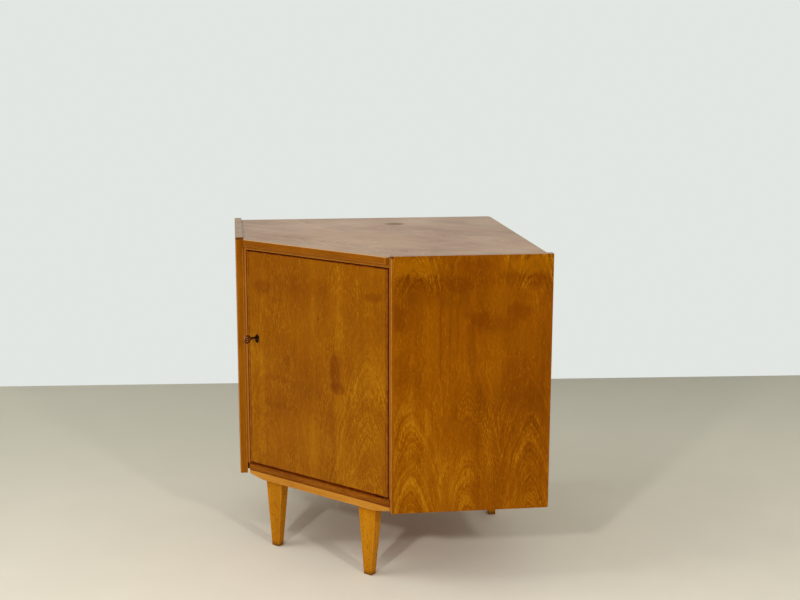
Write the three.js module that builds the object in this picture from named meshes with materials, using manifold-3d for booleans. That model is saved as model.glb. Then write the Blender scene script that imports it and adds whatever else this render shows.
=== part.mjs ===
// A five-sided corner cupboard with one door, standing on four tapered legs.
// Millimetres, +Z up. The door faces -Y and the room corner points to +Y.
// The plan is laid out from the room corner: a place beside a wall is given by how far it lies
// along that wall and how far it stands out from it, and a place at the front by its x and by
// how far it is set back from the line that joins the front edges of the two side panels.
import * as THREE from 'three';
import { ConvexGeometry } from 'three/addons/geometries/ConvexGeometry.js';
import { mergeVertices } from 'three/addons/utils/BufferGeometryUtils.js';
import Module from 'manifold-3d';

// Carcass
const wallLength = 709;
const sideDepth = 370.5;
const overallHeight = 780;
const sideHeight = 600;
const sideThickness = 18;
const topThickness = 16.5;
const topDrop = 4.5;
const topSetback = 5;
const bottomThickness = 18;
const bottomSetback = 14;
const bottomEndGap = 4.5;
const bottomShift = 2.3;
const sideHang = 8.8;
const lippingDepth = 7;

// Back
const backThickness = 5;
const backInset = 3;
const backEdgeInset = 2;
const postLeg = 45;

// Door frame and door
const doorSetback = 15.5;
const stileFace = 7.4;
const stileDepth = 28;
const railThickness = 8.2;
const doorThickness = 18;
const doorGap = 3;
const doorFootGap = 4;
const doorLipping = 6;

// Pivot hinges
const pivotInset = 14;
const pivotDepth = 8.5;
const pinRadius = 2.5;
const pinEngagement = 3;
const pinPlay = 0.1;
const pivotPlateTail = 34;
const pivotPlateNose = 5.5;
const pivotPlateWidth = 12;
const pivotPlateThickness = 2.5;
const pivotScrewPitch = 12;
const pivotScrewLength = 13;

// Lock, key and strike
const keyInset = 31;
const keyHeight = 536;
const caseWidth = 48;
const caseHeight = 58;
const caseBody = 11;
const caseFlange = 1.2;
const caseFlangeRim = 9;
const caseDrop = 9;
const boltLength = 32;
const boltHeight = 14;
const boltThickness = 5;
const boltDrop = 16;
const boltCover = 2.5;
const boltRecess = 0.5;
const boltThrow = 8;
const bitReach = 8;
const bitWidth = 2.5;
const strikeHeight = 50;
const strikeWidth = 13;
const strikeThickness = 1.5;
const strikeScrewPitch = 36;
const smallScrewLength = 9;

const shankRadius = 2.6;
const collarRadius = 3.6;
const collarLength = 3;
const bowReach = 34.5;
const bowHalfHeight = 10.5;
const bowHalfDepth = 12;
const bowThickness = 3;
const bowRim = 3;

const escutcheonThickness = 1.2;
const escutcheonHead = 5;
const escutcheonFoot = 14;
const escutcheonFootHalf = 5.5;
const keyholeRadius = 3;
const keyholeSlotHalf = 1.6;
const keyholeSlotReach = 9;

// Shelf
const shelfHeight = 482;
const shelfThickness = 16;
const shelfSetback = 62;
const shelfClearance = 1;
const battenWidth = 15;
const battenHeight = 20;
const battenStart = 45;
const battenEndGap = 12;
const cleatInset = 4;
const cleatDepth = 18;

// Stand
const apronThickness = 10;
const apronDepth = 17.5;
const apronEndDepth = 8.5;
const apronTaper = 50;
const apronBendShare = 0.8;
const rearRailInset = 18;
const rearRailStart = 60;
const rearRailEndGap = 50;
const legWidth = 55;
const legDepth = 28;
const footWidth = 23;
const footDepth = 18;
const footRake = 2;
const legArris = 2;
const frontLegInset = 74.5;
const rearLegAlong = 256;
const legScrewPitch = 24;
const legScrewLength = 34;

// Screws
const plateScrew = { head: 3.2, shank: 1.6, sink: 1.8 };
const legScrew = { head: 4, shank: 2.2, sink: 2.4 };
const screwTipShare = 0.2;
const slotWidthShare = 0.28;
const slotDepthShare = 0.4;

// Clearances and steps
const seatGap = 0.3;
const overrun = 2;
const roundSteps = 20;
const curveSteps = 6;

// Derived sizes
const half = Math.SQRT1_2;
const diagonalGap = seatGap * Math.SQRT2;
const topUpper = overallHeight - topDrop;
const topLower = topUpper - topThickness;
const bottomLower = overallHeight - sideHeight + sideHang;
const bottomUpper = bottomLower + bottomThickness;
const backFace = backInset + backThickness;
const boardBack = backFace + seatGap;
const sideInner = wallLength - sideThickness;
const openHalf = innerHalf(doorSetback) - stileFace;
const doorHalf = openHalf - doorGap;
const railLower = topLower - seatGap - railThickness;
const doorUpper = railLower - doorGap;
const doorLower = bottomUpper + doorFootGap;
const doorFront = frontY(doorSetback);
const doorBack = doorFront + doorThickness;
const pivotX = doorHalf - pivotInset;
const pivotY = doorFront + pivotDepth;
const keyX = keyInset - doorHalf;
const boltZ = keyHeight - boltDrop;
const boltBack = doorBack - boltCover;
const boltFront = boltBack - boltThickness;
const keyEnd = boltFront - seatGap * 2;
const bowY = doorFront - bowReach;
const bottomHalf = innerHalf(bottomSetback) - bottomEndGap;
const legSetback = bottomSetback + apronThickness + seatGap;
const rearLegOut = rearRailInset + apronThickness + seatGap;
const postFace = 2 * boardBack + postLeg;
const cleatHalf = postLeg * half - cleatInset;
const stileBackOut = wallLength + sideDepth - sideInner - (doorSetback + stileDepth) * Math.SQRT2;
const battenEnd = stileBackOut - battenEndGap;
const shelfLower = shelfHeight - shelfThickness;

const wasm = await Module();
wasm.setup();

const wood = (color, roughness) => new THREE.MeshStandardMaterial({ color, roughness, metalness: 0 });
const metal = (color, roughness) => new THREE.MeshStandardMaterial({ color, roughness, metalness: 1 });
const finishes = {
  veneer: wood(0x9a5c14, 0.45),
  top: wood(0xa8713a, 0.5),
  edge: wood(0xab6a22, 0.5),
  pale: wood(0xc08a3c, 0.5),
  leg: wood(0xb5761a, 0.5),
  ply: wood(0xa98555, 0.8),
  brass: metal(0x8a6c3a, 0.4),
  steel: metal(0x8c8a86, 0.4),
  iron: metal(0x1b1714, 0.5),
  key: metal(0x5f4a38, 0.45),
};

const root = new THREE.Group();
const cupboard = new THREE.Group();
root.add(cupboard);

// Plan places

function atWall(hand, along, out) {
  return new THREE.Vector2(hand * (along - out) * half, -(along + out) * half);
}

function frontY(setback) {
  return setback - (wallLength + sideDepth) * half;
}

function innerHalf(setback) {
  return (wallLength - sideDepth - 2 * sideThickness) * half + setback;
}

// Solids

function toSolid(geometry) {
  const bare = geometry.clone();
  bare.deleteAttribute('normal');
  bare.deleteAttribute('uv');
  const merged = mergeVertices(bare);
  return new wasm.Manifold(new wasm.Mesh({
    numProp: 3,
    vertProperties: Float32Array.from(merged.attributes.position.array),
    triVerts: Uint32Array.from(merged.index.array),
  }));
}

function toGeometry(solid) {
  const mesh = solid.getMesh();
  const geometry = new THREE.BufferGeometry();
  geometry.setAttribute('position', new THREE.BufferAttribute(mesh.vertProperties, mesh.numProp));
  geometry.setIndex(new THREE.BufferAttribute(mesh.triVerts, 1));
  return geometry;
}

function cut(geometry, tools) {
  return toGeometry(tools.reduce((solid, tool) => solid.subtract(toSolid(tool)), toSolid(geometry)));
}

function join(geometries) {
  return toGeometry(geometries.map(toSolid).reduce((solid, next) => solid.add(next)));
}

function place(name, geometry, material) {
  const mesh = new THREE.Mesh(geometry, material);
  mesh.name = name;
  cupboard.add(mesh);
}

function prism(points, low, high) {
  const geometry = new THREE.ExtrudeGeometry(new THREE.Shape(points), { depth: high - low, bevelEnabled: false });
  return geometry.translate(0, 0, low);
}

function block(low, high) {
  const size = new THREE.Vector3(...high).sub(new THREE.Vector3(...low));
  const middle = new THREE.Vector3(...low).addScaledVector(size, 0.5);
  return new THREE.BoxGeometry(size.x, size.y, size.z).translate(middle.x, middle.y, middle.z);
}

function grown(low, high, gap) {
  return block(low.map((value) => value - gap), high.map((value) => value + gap));
}

function rod(start, end, radius) {
  const from = new THREE.Vector3(...start);
  const run = new THREE.Vector3(...end).sub(from);
  const geometry = new THREE.CylinderGeometry(radius, radius, run.length(), roundSteps);
  const turn = new THREE.Quaternion().setFromUnitVectors(new THREE.Vector3(0, 1, 0), run.clone().normalize());
  geometry.applyQuaternion(turn);
  const middle = from.addScaledVector(run, 0.5);
  return geometry.translate(middle.x, middle.y, middle.z);
}

// A slice of a shape drawn in x and z, standing between two values of y
function upright(shape, front, back) {
  const geometry = new THREE.ExtrudeGeometry(shape, {
    depth: back - front,
    bevelEnabled: false,
    curveSegments: curveSteps,
  });
  return geometry.rotateX(Math.PI / 2).translate(0, back, 0);
}

// Screws: the head's face lies at `head` and the point is driven along `direction`

function turned(profile, head, direction) {
  const geometry = new THREE.LatheGeometry(profile, roundSteps);
  const turn = new THREE.Quaternion().setFromUnitVectors(new THREE.Vector3(0, -1, 0), direction.clone().normalize());
  return geometry.applyQuaternion(turn).translate(head.x, head.y, head.z);
}

function screw(size, length, head, direction) {
  const tip = length * screwTipShare;
  const body = turned([
    new THREE.Vector2(0, -length),
    new THREE.Vector2(size.shank, tip - length),
    new THREE.Vector2(size.shank, -size.sink),
    new THREE.Vector2(size.head, 0),
    new THREE.Vector2(0, 0),
  ], head, direction);
  const slot = new THREE.BoxGeometry(size.head * slotWidthShare, size.sink * slotDepthShare * 2, size.head * 3);
  const turn = new THREE.Quaternion().setFromUnitVectors(new THREE.Vector3(0, -1, 0), direction.clone().normalize());
  slot.applyQuaternion(turn).translate(head.x, head.y, head.z);
  return cut(body, [slot]);
}

function screwHole(size, length, head, direction) {
  const wide = size.head + seatGap;
  const narrow = size.shank + seatGap;
  return turned([
    new THREE.Vector2(0, -length - seatGap),
    new THREE.Vector2(narrow, -length - seatGap),
    new THREE.Vector2(narrow, -size.sink - seatGap),
    new THREE.Vector2(wide, -seatGap),
    new THREE.Vector2(wide, overrun),
    new THREE.Vector2(0, overrun),
  ], head, direction);
}

// Boards follow the five sides of the plan, short of the side panels and of the back panels

function boardOutline(frontSetback) {
  const x = innerHalf(frontSetback) - diagonalGap;
  const y = frontY(frontSetback);
  return [
    new THREE.Vector2(-x, y),
    new THREE.Vector2(x, y),
    atWall(1, sideInner - seatGap, boardBack),
    atWall(1, boardBack, boardBack),
    atWall(-1, sideInner - seatGap, boardBack),
  ];
}

function sidePanels() {
  for (const [label, hand] of [['left', -1], ['right', 1]]) {
    const low = overallHeight - sideHeight;
    const panelFront = sideDepth - lippingDepth - seatGap;
    const core = [
      atWall(hand, sideInner, 0),
      atWall(hand, wallLength, 0),
      atWall(hand, wallLength, panelFront),
      atWall(hand, sideInner, panelFront),
    ];
    const lipping = [
      atWall(hand, sideInner, sideDepth - lippingDepth),
      atWall(hand, wallLength, sideDepth - lippingDepth),
      atWall(hand, wallLength, sideDepth),
      atWall(hand, sideInner, sideDepth),
    ];
    place(`side_panel_${label}`, prism(core, low, overallHeight), finishes.veneer);
    place(`side_lipping_${label}`, prism(lipping, low, overallHeight), finishes.edge);
  }
}

function topBoard() {
  const front = topSetback + lippingDepth;
  const frontX = innerHalf(topSetback) - diagonalGap;
  const backX = innerHalf(front) - diagonalGap;
  const lipping = [
    new THREE.Vector2(-frontX, frontY(topSetback)),
    new THREE.Vector2(frontX, frontY(topSetback)),
    new THREE.Vector2(backX, frontY(front)),
    new THREE.Vector2(-backX, frontY(front)),
  ];
  const board = prism(boardOutline(front + seatGap), topLower, topUpper);
  place('top_board', cut(board, railScrews.map(hole)), finishes.top);
  place('top_board_lipping', prism(lipping, topLower, topUpper), finishes.edge);
}

function bottomBoard() {
  const front = bottomSetback + lippingDepth;
  const board = prism(boardOutline(front + seatGap), bottomLower, bottomUpper);
  const recess = plateRecess(bottomUpper - pivotPlateThickness, bottomUpper);
  place('bottom_board', cut(board, [recess, ...boardScrews.map(hole)]), finishes.veneer);
  const lipping = block(
    [bottomShift - bottomHalf, frontY(bottomSetback), bottomLower],
    [bottomShift + bottomHalf, frontY(front), bottomUpper],
  );
  place('bottom_board_lipping', cut(lipping, [recess]), finishes.edge);
}

function backPanels() {
  const low = bottomLower + backEdgeInset;
  const high = topUpper - backEdgeInset;
  for (const [label, hand, start] of [['left', -1, backInset], ['right', 1, boardBack]]) {
    const outline = [
      atWall(hand, start, backInset),
      atWall(hand, sideInner - seatGap, backInset),
      atWall(hand, sideInner - seatGap, backFace),
      atWall(hand, start, backFace),
    ];
    place(`back_panel_${label}`, prism(outline, low, high), finishes.ply);
  }
  const post = [
    atWall(1, boardBack, boardBack),
    atWall(1, boardBack + postLeg, boardBack),
    atWall(1, boardBack, boardBack + postLeg),
  ];
  place('corner_post', prism(post, bottomUpper + seatGap, topLower - seatGap), finishes.pale);
}

function doorFrame() {
  const backSetback = doorSetback + stileDepth;
  const frontX = innerHalf(doorSetback) - diagonalGap;
  const backX = innerHalf(backSetback) - diagonalGap;
  const strikeLow = [-openHalf, strikeMiddle - strikeWidth / 2, boltZ - strikeHeight / 2];
  const strikeHigh = [-openHalf - strikeThickness, strikeMiddle + strikeWidth / 2, boltZ + strikeHeight / 2];
  const mortise = grown(
    [-openHalf - boltThrow - strikeThickness, boltFront, boltZ - boltHeight / 2],
    [-openHalf + overrun, boltBack, boltZ + boltHeight / 2],
    seatGap,
  );
  const strikeRecess = grown(
    [strikeHigh[0], strikeLow[1], strikeLow[2]],
    [strikeLow[0] + overrun, strikeHigh[1], strikeHigh[2]],
    seatGap,
  );
  for (const [name, hand, cuts] of [
    ['lock_stile', -1, [mortise, strikeRecess, ...strikeScrews.map(hole)]],
    ['hinge_stile', 1, []],
  ]) {
    const outline = [
      new THREE.Vector2(hand * openHalf, frontY(doorSetback)),
      new THREE.Vector2(hand * frontX, frontY(doorSetback)),
      new THREE.Vector2(hand * backX, frontY(backSetback)),
      new THREE.Vector2(hand * openHalf, frontY(backSetback)),
    ];
    place(name, cut(prism(outline, bottomUpper + seatGap, topLower - seatGap), cuts), finishes.pale);
  }
  const rail = block(
    [seatGap - openHalf, frontY(doorSetback), railLower],
    [openHalf - seatGap, frontY(backSetback), railLower + railThickness],
  );
  const recess = plateRecess(railLower, railLower + pivotPlateThickness);
  place('top_rail', cut(rail, [recess, ...railScrews.map(hole)]), finishes.pale);
  const plate = block(
    [strikeHigh[0], strikeLow[1], strikeLow[2]],
    [strikeLow[0], strikeHigh[1], strikeHigh[2]],
  );
  place('strike_plate', cut(plate, [mortise, ...strikeScrews.map(hole)]), finishes.brass);
  strikeScrews.forEach((item, index) => placeScrew(`strike_screw_${index + 1}`, item, finishes.brass));
}

// The pivot plates: the frame's carry the pins, the door's carry the bores

function plateBox(low, high) {
  return [
    [pivotX - pivotPlateTail, pivotY - pivotPlateWidth / 2, low],
    [pivotX + pivotPlateNose, pivotY + pivotPlateWidth / 2, high],
  ];
}

function plateRecess(low, high) {
  return grown(...plateBox(low, high), seatGap);
}

function plateScrews(z, direction, length) {
  return [1, 2].map((step) => ({
    size: plateScrew,
    length,
    head: new THREE.Vector3(pivotX - step * pivotScrewPitch, pivotY, z),
    direction: new THREE.Vector3(0, 0, direction),
  }));
}

function hole(item) {
  return screwHole(item.size, item.length, item.head, item.direction);
}

function placeScrew(name, item, material) {
  place(name, screw(item.size, item.length, item.head, item.direction), material);
}

const railScrews = plateScrews(railLower, 1, pivotScrewLength);
const boardScrews = plateScrews(bottomUpper, -1, pivotScrewLength);
const doorTopScrews = plateScrews(doorUpper, -1, pivotScrewLength);
const doorFootScrews = plateScrews(doorLower, 1, pivotScrewLength);
const strikeMiddle = (boltFront + boltBack) / 2;
const strikeScrews = [-1, 1].map((side) => ({
  size: plateScrew,
  length: smallScrewLength,
  head: new THREE.Vector3(-openHalf, strikeMiddle, boltZ + side * strikeScrewPitch / 2),
  direction: new THREE.Vector3(-1, 0, 0),
}));
const caseMiddle = keyHeight - caseDrop;
const caseScrews = [-1, 1].map((side) => ({
  size: plateScrew,
  length: smallScrewLength,
  head: new THREE.Vector3(
    caseFlangeRim / 2 + caseWidth - doorHalf,
    doorBack + seatGap + caseFlange,
    caseMiddle + side * (caseHeight + caseFlangeRim) / 2,
  ),
  direction: new THREE.Vector3(0, -1, 0),
}));

function pivotHinges() {
  const ends = [
    ['top', railLower, 1, doorUpper, railScrews, doorTopScrews],
    ['bottom', bottomUpper, -1, doorLower, boardScrews, doorFootScrews],
  ];
  for (const [label, frameFace, up, doorFace, frameScrews, doorScrews] of ends) {
    const frameLevels = [frameFace, frameFace + up * pivotPlateThickness].sort((a, b) => a - b);
    const doorLevels = [doorFace, doorFace - up * pivotPlateThickness].sort((a, b) => a - b);
    const framePlate = cut(block(...plateBox(...frameLevels)), frameScrews.map(hole));
    const pinTip = doorFace - up * (pivotPlateThickness + pinEngagement);
    const pinRoot = frameFace + up * pivotPlateThickness / 2;
    const pin = rod([pivotX, pivotY, pinRoot], [pivotX, pivotY, pinTip], pinRadius);
    const bore = rod([pivotX, pivotY, doorFace + up * overrun], [pivotX, pivotY, pinTip], pinRadius + pinPlay);
    const doorPlate = cut(block(...plateBox(...doorLevels)), [bore, ...doorScrews.map(hole)]);
    place(`pivot_plate_${label}_frame`, join([framePlate, pin]), finishes.brass);
    place(`pivot_plate_${label}_door`, doorPlate, finishes.brass);
    frameScrews.forEach((item, index) => placeScrew(`pivot_screw_${label}_frame_${index + 1}`, item, finishes.brass));
    doorScrews.forEach((item, index) => placeScrew(`pivot_screw_${label}_door_${index + 1}`, item, finishes.brass));
  }
}

function keyholeShape(head, slotHalf, reach) {
  const angle = Math.asin(slotHalf / head);
  const shape = new THREE.Shape();
  shape.absarc(keyX, keyHeight, head, angle - Math.PI / 2, 1.5 * Math.PI - angle, false);
  shape.lineTo(keyX - slotHalf, keyHeight - reach);
  shape.lineTo(keyX + slotHalf, keyHeight - reach);
  return shape;
}

function escutcheonShape() {
  const shape = new THREE.Shape();
  const waistShare = 0.7;
  const waistX = escutcheonHead * waistShare;
  const waistZ = keyHeight - Math.sqrt(escutcheonHead ** 2 - waistX ** 2);
  const startAngle = Math.atan2(waistZ - keyHeight, waistX);
  shape.absarc(keyX, keyHeight, escutcheonHead, startAngle, Math.PI - startAngle, false);
  shape.lineTo(keyX - escutcheonFootHalf, keyHeight + escutcheonFootHalf / 2 - escutcheonFoot);
  shape.quadraticCurveTo(
    keyX - escutcheonFootHalf,
    keyHeight - escutcheonFoot,
    keyX,
    keyHeight - escutcheonFoot,
  );
  shape.quadraticCurveTo(
    keyX + escutcheonFootHalf,
    keyHeight - escutcheonFoot,
    keyX + escutcheonFootHalf,
    keyHeight + escutcheonFootHalf / 2 - escutcheonFoot,
  );
  return shape;
}

function door() {
  const coreHalf = doorHalf - doorLipping - seatGap;
  const core = block([-coreHalf, doorFront, doorLower], [coreHalf, doorBack, doorUpper]);
  const bodyBox = caseBodyBox();
  const pinHoles = [
    [doorUpper + overrun, doorUpper - pivotPlateThickness - pinEngagement - seatGap],
    [doorLower - overrun, doorLower + pivotPlateThickness + pinEngagement + seatGap],
  ].map(([from, to]) => rod([pivotX, pivotY, from], [pivotX, pivotY, to], pinRadius + seatGap));
  const keyhole = upright(
    keyholeShape(keyholeRadius, keyholeSlotHalf, keyholeSlotReach),
    doorFront - overrun,
    doorBack - caseBody,
  );
  place('door_panel', cut(core, [
    grown(bodyBox[0], [bodyBox[1][0], bodyBox[1][1] + overrun, bodyBox[1][2]], seatGap),
    keyhole,
    plateRecess(doorUpper - pivotPlateThickness, doorUpper + overrun),
    plateRecess(doorLower - overrun, doorLower + pivotPlateThickness),
    ...pinHoles,
    ...[...doorTopScrews, ...doorFootScrews, ...caseScrews].map(hole),
  ]), finishes.veneer);
  const boltSlot = grown(...boltBox(overrun), seatGap);
  for (const [name, hand, cuts] of [['door_lipping_free', -1, [boltSlot]], ['door_lipping_hinge', 1, []]]) {
    const edges = [hand * (doorHalf - doorLipping), hand * doorHalf].sort((a, b) => a - b);
    const strip = block([edges[0], doorFront, doorLower], [edges[1], doorBack, doorUpper]);
    place(name, cut(strip, cuts), finishes.edge);
  }
  const plate = upright(escutcheonShape(), doorFront - seatGap - escutcheonThickness, doorFront - seatGap);
  place('escutcheon', cut(plate, [keyhole]), finishes.iron);
}

// The lock's body is let into the back of the door, and its flange covers the recess

function caseBodyBox() {
  return [
    [doorLipping + 2 * seatGap - doorHalf, doorBack - caseBody + seatGap, caseMiddle - caseHeight / 2],
    [caseWidth - doorHalf, doorBack + seatGap, caseMiddle + caseHeight / 2],
  ];
}

function boltBox(reach) {
  return [
    [boltRecess - doorHalf - reach, boltFront, boltZ - boltHeight / 2],
    [boltRecess - doorHalf + boltLength, boltBack, boltZ + boltHeight / 2],
  ];
}

function lock() {
  const [low, high] = caseBodyBox();
  const flange = block(
    [low[0], doorBack + seatGap, low[2] - caseFlangeRim],
    [high[0] + caseFlangeRim, doorBack + seatGap + caseFlange, high[2] + caseFlangeRim],
  );
  const channel = grown(...boltBox(overrun), seatGap);
  const bitRoom = rod([keyX, low[1] - overrun, keyHeight], [keyX, boltFront, keyHeight], bitReach + seatGap);
  const body = cut(join([block(low, high), flange]), [channel, bitRoom, ...caseScrews.map(hole)]);
  place('lock_case', body, finishes.steel);
  caseScrews.forEach((item, index) => placeScrew(`lock_screw_${index + 1}`, item, finishes.steel));
  place('lock_bolt', block(...boltBox(0)), finishes.brass);
}

function key() {
  const shank = rod([keyX, bowY + bowHalfDepth - bowRim / 2, keyHeight], [keyX, keyEnd, keyHeight], shankRadius);
  const collarStart = bowY + bowHalfDepth;
  const collar = rod([keyX, collarStart, keyHeight], [keyX, collarStart + collarLength, keyHeight], collarRadius);
  const bit = block(
    [keyX - bitWidth / 2, keyEnd - bitWidth, keyHeight - bitReach],
    [keyX + bitWidth / 2, keyEnd, keyHeight],
  );
  const bow = new THREE.Shape();
  bow.absellipse(0, 0, bowHalfHeight, bowHalfDepth, 0, 2 * Math.PI, false);
  const eye = new THREE.Path();
  eye.absellipse(0, 0, bowHalfHeight - bowRim, bowHalfDepth - bowRim, 0, 2 * Math.PI, true);
  bow.holes.push(eye);
  const ring = new THREE.ExtrudeGeometry(bow, {
    depth: bowThickness,
    bevelEnabled: false,
    curveSegments: roundSteps,
  });
  ring.translate(0, 0, -bowThickness / 2).rotateY(Math.PI / 2).translate(keyX, bowY, keyHeight);
  place('key', join([shank, collar, bit, ring]), finishes.key);
}

function shelf() {
  const clear = seatGap + shelfClearance;
  const sideX = innerHalf(shelfSetback) - clear * Math.SQRT2;
  const along = sideInner - clear;
  const out = boardBack + shelfClearance;
  const cornerAlong = postFace + diagonalGap - out;
  const outline = [
    new THREE.Vector2(-sideX, frontY(shelfSetback)),
    new THREE.Vector2(sideX, frontY(shelfSetback)),
    atWall(1, along, out),
    atWall(1, cornerAlong, out),
    atWall(-1, cornerAlong, out),
    atWall(-1, along, out),
  ];
  place('shelf', prism(outline, shelfLower, shelfHeight), finishes.veneer);
  const battenUpper = shelfLower - seatGap;
  const battenLower = battenUpper - battenHeight;
  for (const [label, hand] of [['left', -1], ['right', 1]]) {
    const batten = [
      atWall(hand, sideInner - seatGap - battenWidth, battenStart),
      atWall(hand, sideInner - seatGap, battenStart),
      atWall(hand, sideInner - seatGap, battenEnd),
      atWall(hand, sideInner - seatGap - battenWidth, battenEnd),
    ];
    place(`shelf_batten_${label}`, prism(batten, battenLower, battenUpper), finishes.pale);
  }
  const cleatBack = -postFace * half - seatGap;
  const cleat = block([-cleatHalf, cleatBack - cleatDepth, battenLower], [cleatHalf, cleatBack, battenUpper]);
  place('shelf_cleat', cleat, finishes.pale);
}

// The stand: an apron under the front edge, a rail along each wall and four legs behind them

function frontApron() {
  const high = bottomLower - seatGap;
  const low = high - apronDepth;
  const endLow = high - apronEndDepth;
  const straight = bottomHalf - apronTaper;
  const bend = bottomHalf - apronTaper * apronBendShare;
  const shape = new THREE.Shape();
  shape.moveTo(-bottomHalf, high);
  shape.lineTo(-bottomHalf, endLow);
  shape.quadraticCurveTo(-bend, low, -straight, low);
  shape.lineTo(straight, low);
  shape.quadraticCurveTo(bend, low, bottomHalf, endLow);
  shape.lineTo(bottomHalf, high);
  const front = frontY(bottomSetback);
  const holes = legs.filter((leg) => leg.front).flatMap((leg) => leg.screws).map(hole);
  const board = upright(shape, front, front + apronThickness).translate(bottomShift, 0, 0);
  place('front_apron', cut(board, holes), finishes.pale);
}

function rearRails() {
  const high = bottomLower - seatGap;
  for (const [label, hand] of [['left', -1], ['right', 1]]) {
    const outline = [
      atWall(hand, rearRailStart, rearRailInset),
      atWall(hand, sideInner - rearRailEndGap, rearRailInset),
      atWall(hand, sideInner - rearRailEndGap, rearRailInset + apronThickness),
      atWall(hand, rearRailStart, rearRailInset + apronThickness),
    ];
    const leg = legs.find((item) => item.name === `leg_rear_${label}`);
    const rail = cut(prism(outline, high - apronDepth, high), leg.screws.map(hole));
    place(`rear_rail_${label}`, rail, finishes.pale);
  }
}

// A leg's own plan: u runs across its broad face, v from its outer face inwards

function legDepthAt(z) {
  const share = z / (bottomLower - seatGap);
  return (footRake + footDepth) * (1 - share) + legDepth * share;
}

function describeLeg(name, hand, front) {
  const toPlan = front
    ? (u, v) => new THREE.Vector2(hand * (bottomHalf - frontLegInset) + u, frontY(legSetback) + v)
    : (u, v) => atWall(hand, rearLegAlong + u, rearLegOut + v);
  const z = bottomLower - seatGap - apronDepth / 2;
  const outward = toPlan(0, 0).sub(toPlan(0, 1));
  const screws = [-1, 1].map((side) => {
    const at = toPlan(side * legScrewPitch / 2, legDepthAt(z));
    return {
      size: legScrew,
      length: legScrewLength,
      head: new THREE.Vector3(at.x, at.y, z),
      direction: new THREE.Vector3(outward.x, outward.y, 0),
    };
  });
  return { name, front, toPlan, screws };
}

const legs = [
  describeLeg('leg_front_left', -1, true),
  describeLeg('leg_front_right', 1, true),
  describeLeg('leg_rear_left', -1, false),
  describeLeg('leg_rear_right', 1, false),
];

function legRing(toPlan, width, outer, inner, z) {
  const u = width / 2;
  return [
    [-u, outer + legArris], [legArris - u, outer], [u - legArris, outer], [u, outer + legArris],
    [u, inner - legArris], [u - legArris, inner], [legArris - u, inner], [-u, inner - legArris],
  ].map(([across, inwards]) => {
    const at = toPlan(across, inwards);
    return new THREE.Vector3(at.x, at.y, z);
  });
}

function standLegs() {
  for (const leg of legs) {
    const points = [
      ...legRing(leg.toPlan, legWidth, 0, legDepth, bottomLower - seatGap),
      ...legRing(leg.toPlan, footWidth, footRake, footRake + footDepth, 0),
    ];
    place(leg.name, cut(new ConvexGeometry(points), leg.screws.map(hole)), finishes.leg);
    leg.screws.forEach((item, index) => placeScrew(`${leg.name}_screw_${index + 1}`, item, finishes.steel));
  }
}

sidePanels();
topBoard();
bottomBoard();
backPanels();
doorFrame();
pivotHinges();
door();
lock();
key();
shelf();
frontApron();
rearRails();
standLegs();

// The origin is the middle of the whole outline at floor level, the key's bow included
const backMost = -2 * backInset * half;
const frontMost = bowY - bowHalfDepth;
cupboard.position.y = -(backMost + frontMost) / 2;

export default root;
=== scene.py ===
"""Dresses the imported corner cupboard: veneers, lippings, stand, lock, key, floor, lamps and camera.

Lengths are in metres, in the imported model's own frame: the door faces -Y, the room corner points
to +Y and Z is up. Colours are written as the 0 to 255 values that they show on a screen.
"""

import logging
import math
from dataclasses import dataclass, field
from enum import Enum

import bmesh
import bpy
import numpy as np
from mathutils import Matrix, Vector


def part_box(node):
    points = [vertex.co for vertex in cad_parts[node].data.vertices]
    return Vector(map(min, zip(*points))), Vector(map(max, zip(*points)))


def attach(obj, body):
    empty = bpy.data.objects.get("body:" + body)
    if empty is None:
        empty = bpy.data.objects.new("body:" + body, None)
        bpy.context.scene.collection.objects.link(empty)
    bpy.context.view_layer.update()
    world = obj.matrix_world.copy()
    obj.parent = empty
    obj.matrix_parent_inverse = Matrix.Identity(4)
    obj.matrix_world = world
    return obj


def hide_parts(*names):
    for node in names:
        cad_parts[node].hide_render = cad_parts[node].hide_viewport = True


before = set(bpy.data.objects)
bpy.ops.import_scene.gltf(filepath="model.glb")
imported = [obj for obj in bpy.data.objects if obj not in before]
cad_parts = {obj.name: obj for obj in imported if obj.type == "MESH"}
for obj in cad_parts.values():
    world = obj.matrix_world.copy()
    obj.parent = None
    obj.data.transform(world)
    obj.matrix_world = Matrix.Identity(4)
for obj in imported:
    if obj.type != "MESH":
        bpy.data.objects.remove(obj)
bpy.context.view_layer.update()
LOG = logging.getLogger("cupboard")

Colour = tuple[float, float, float]
Point = tuple[float, float, float]
Socket = bpy.types.NodeSocket
HALF = math.sqrt(0.5)


class Body(Enum):
    """The bodies that a piece can move with."""

    CARCASS = "carcass"
    DOOR = "door"
    BOLT = "lock_bolt"
    KEY = "key"


class Grain(Enum):
    """Which way the fibres of a piece run: three axes, the last of them along the fibres."""

    UPRIGHT = ((1, 0, 0), (0, 1, 0), (0, 0, 1))
    ACROSS = ((0, 1, 0), (0, 0, 1), (1, 0, 0))
    RIGHT_WALL = ((HALF, -HALF, 0), (0, 0, 1), (HALF, HALF, 0))
    LEFT_WALL = ((HALF, HALF, 0), (0, 0, 1), (-HALF, HALF, 0))


def tone(colour: Colour) -> tuple[float, float, float, float]:
    """A screen colour as the linear colour that a shader takes.

    Args:
        colour: red, green and blue from 0 to 255.

    Returns:
        Red, green, blue and a full alpha, each from 0 to 1.
    """
    share = np.asarray(colour, float) / 255
    linear = np.where(share <= 0.04045, share / 12.92, ((share + 0.055) / 1.055) ** 2.4)
    return (*linear.tolist(), 1.0)


# Plan of the cupboard


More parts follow.
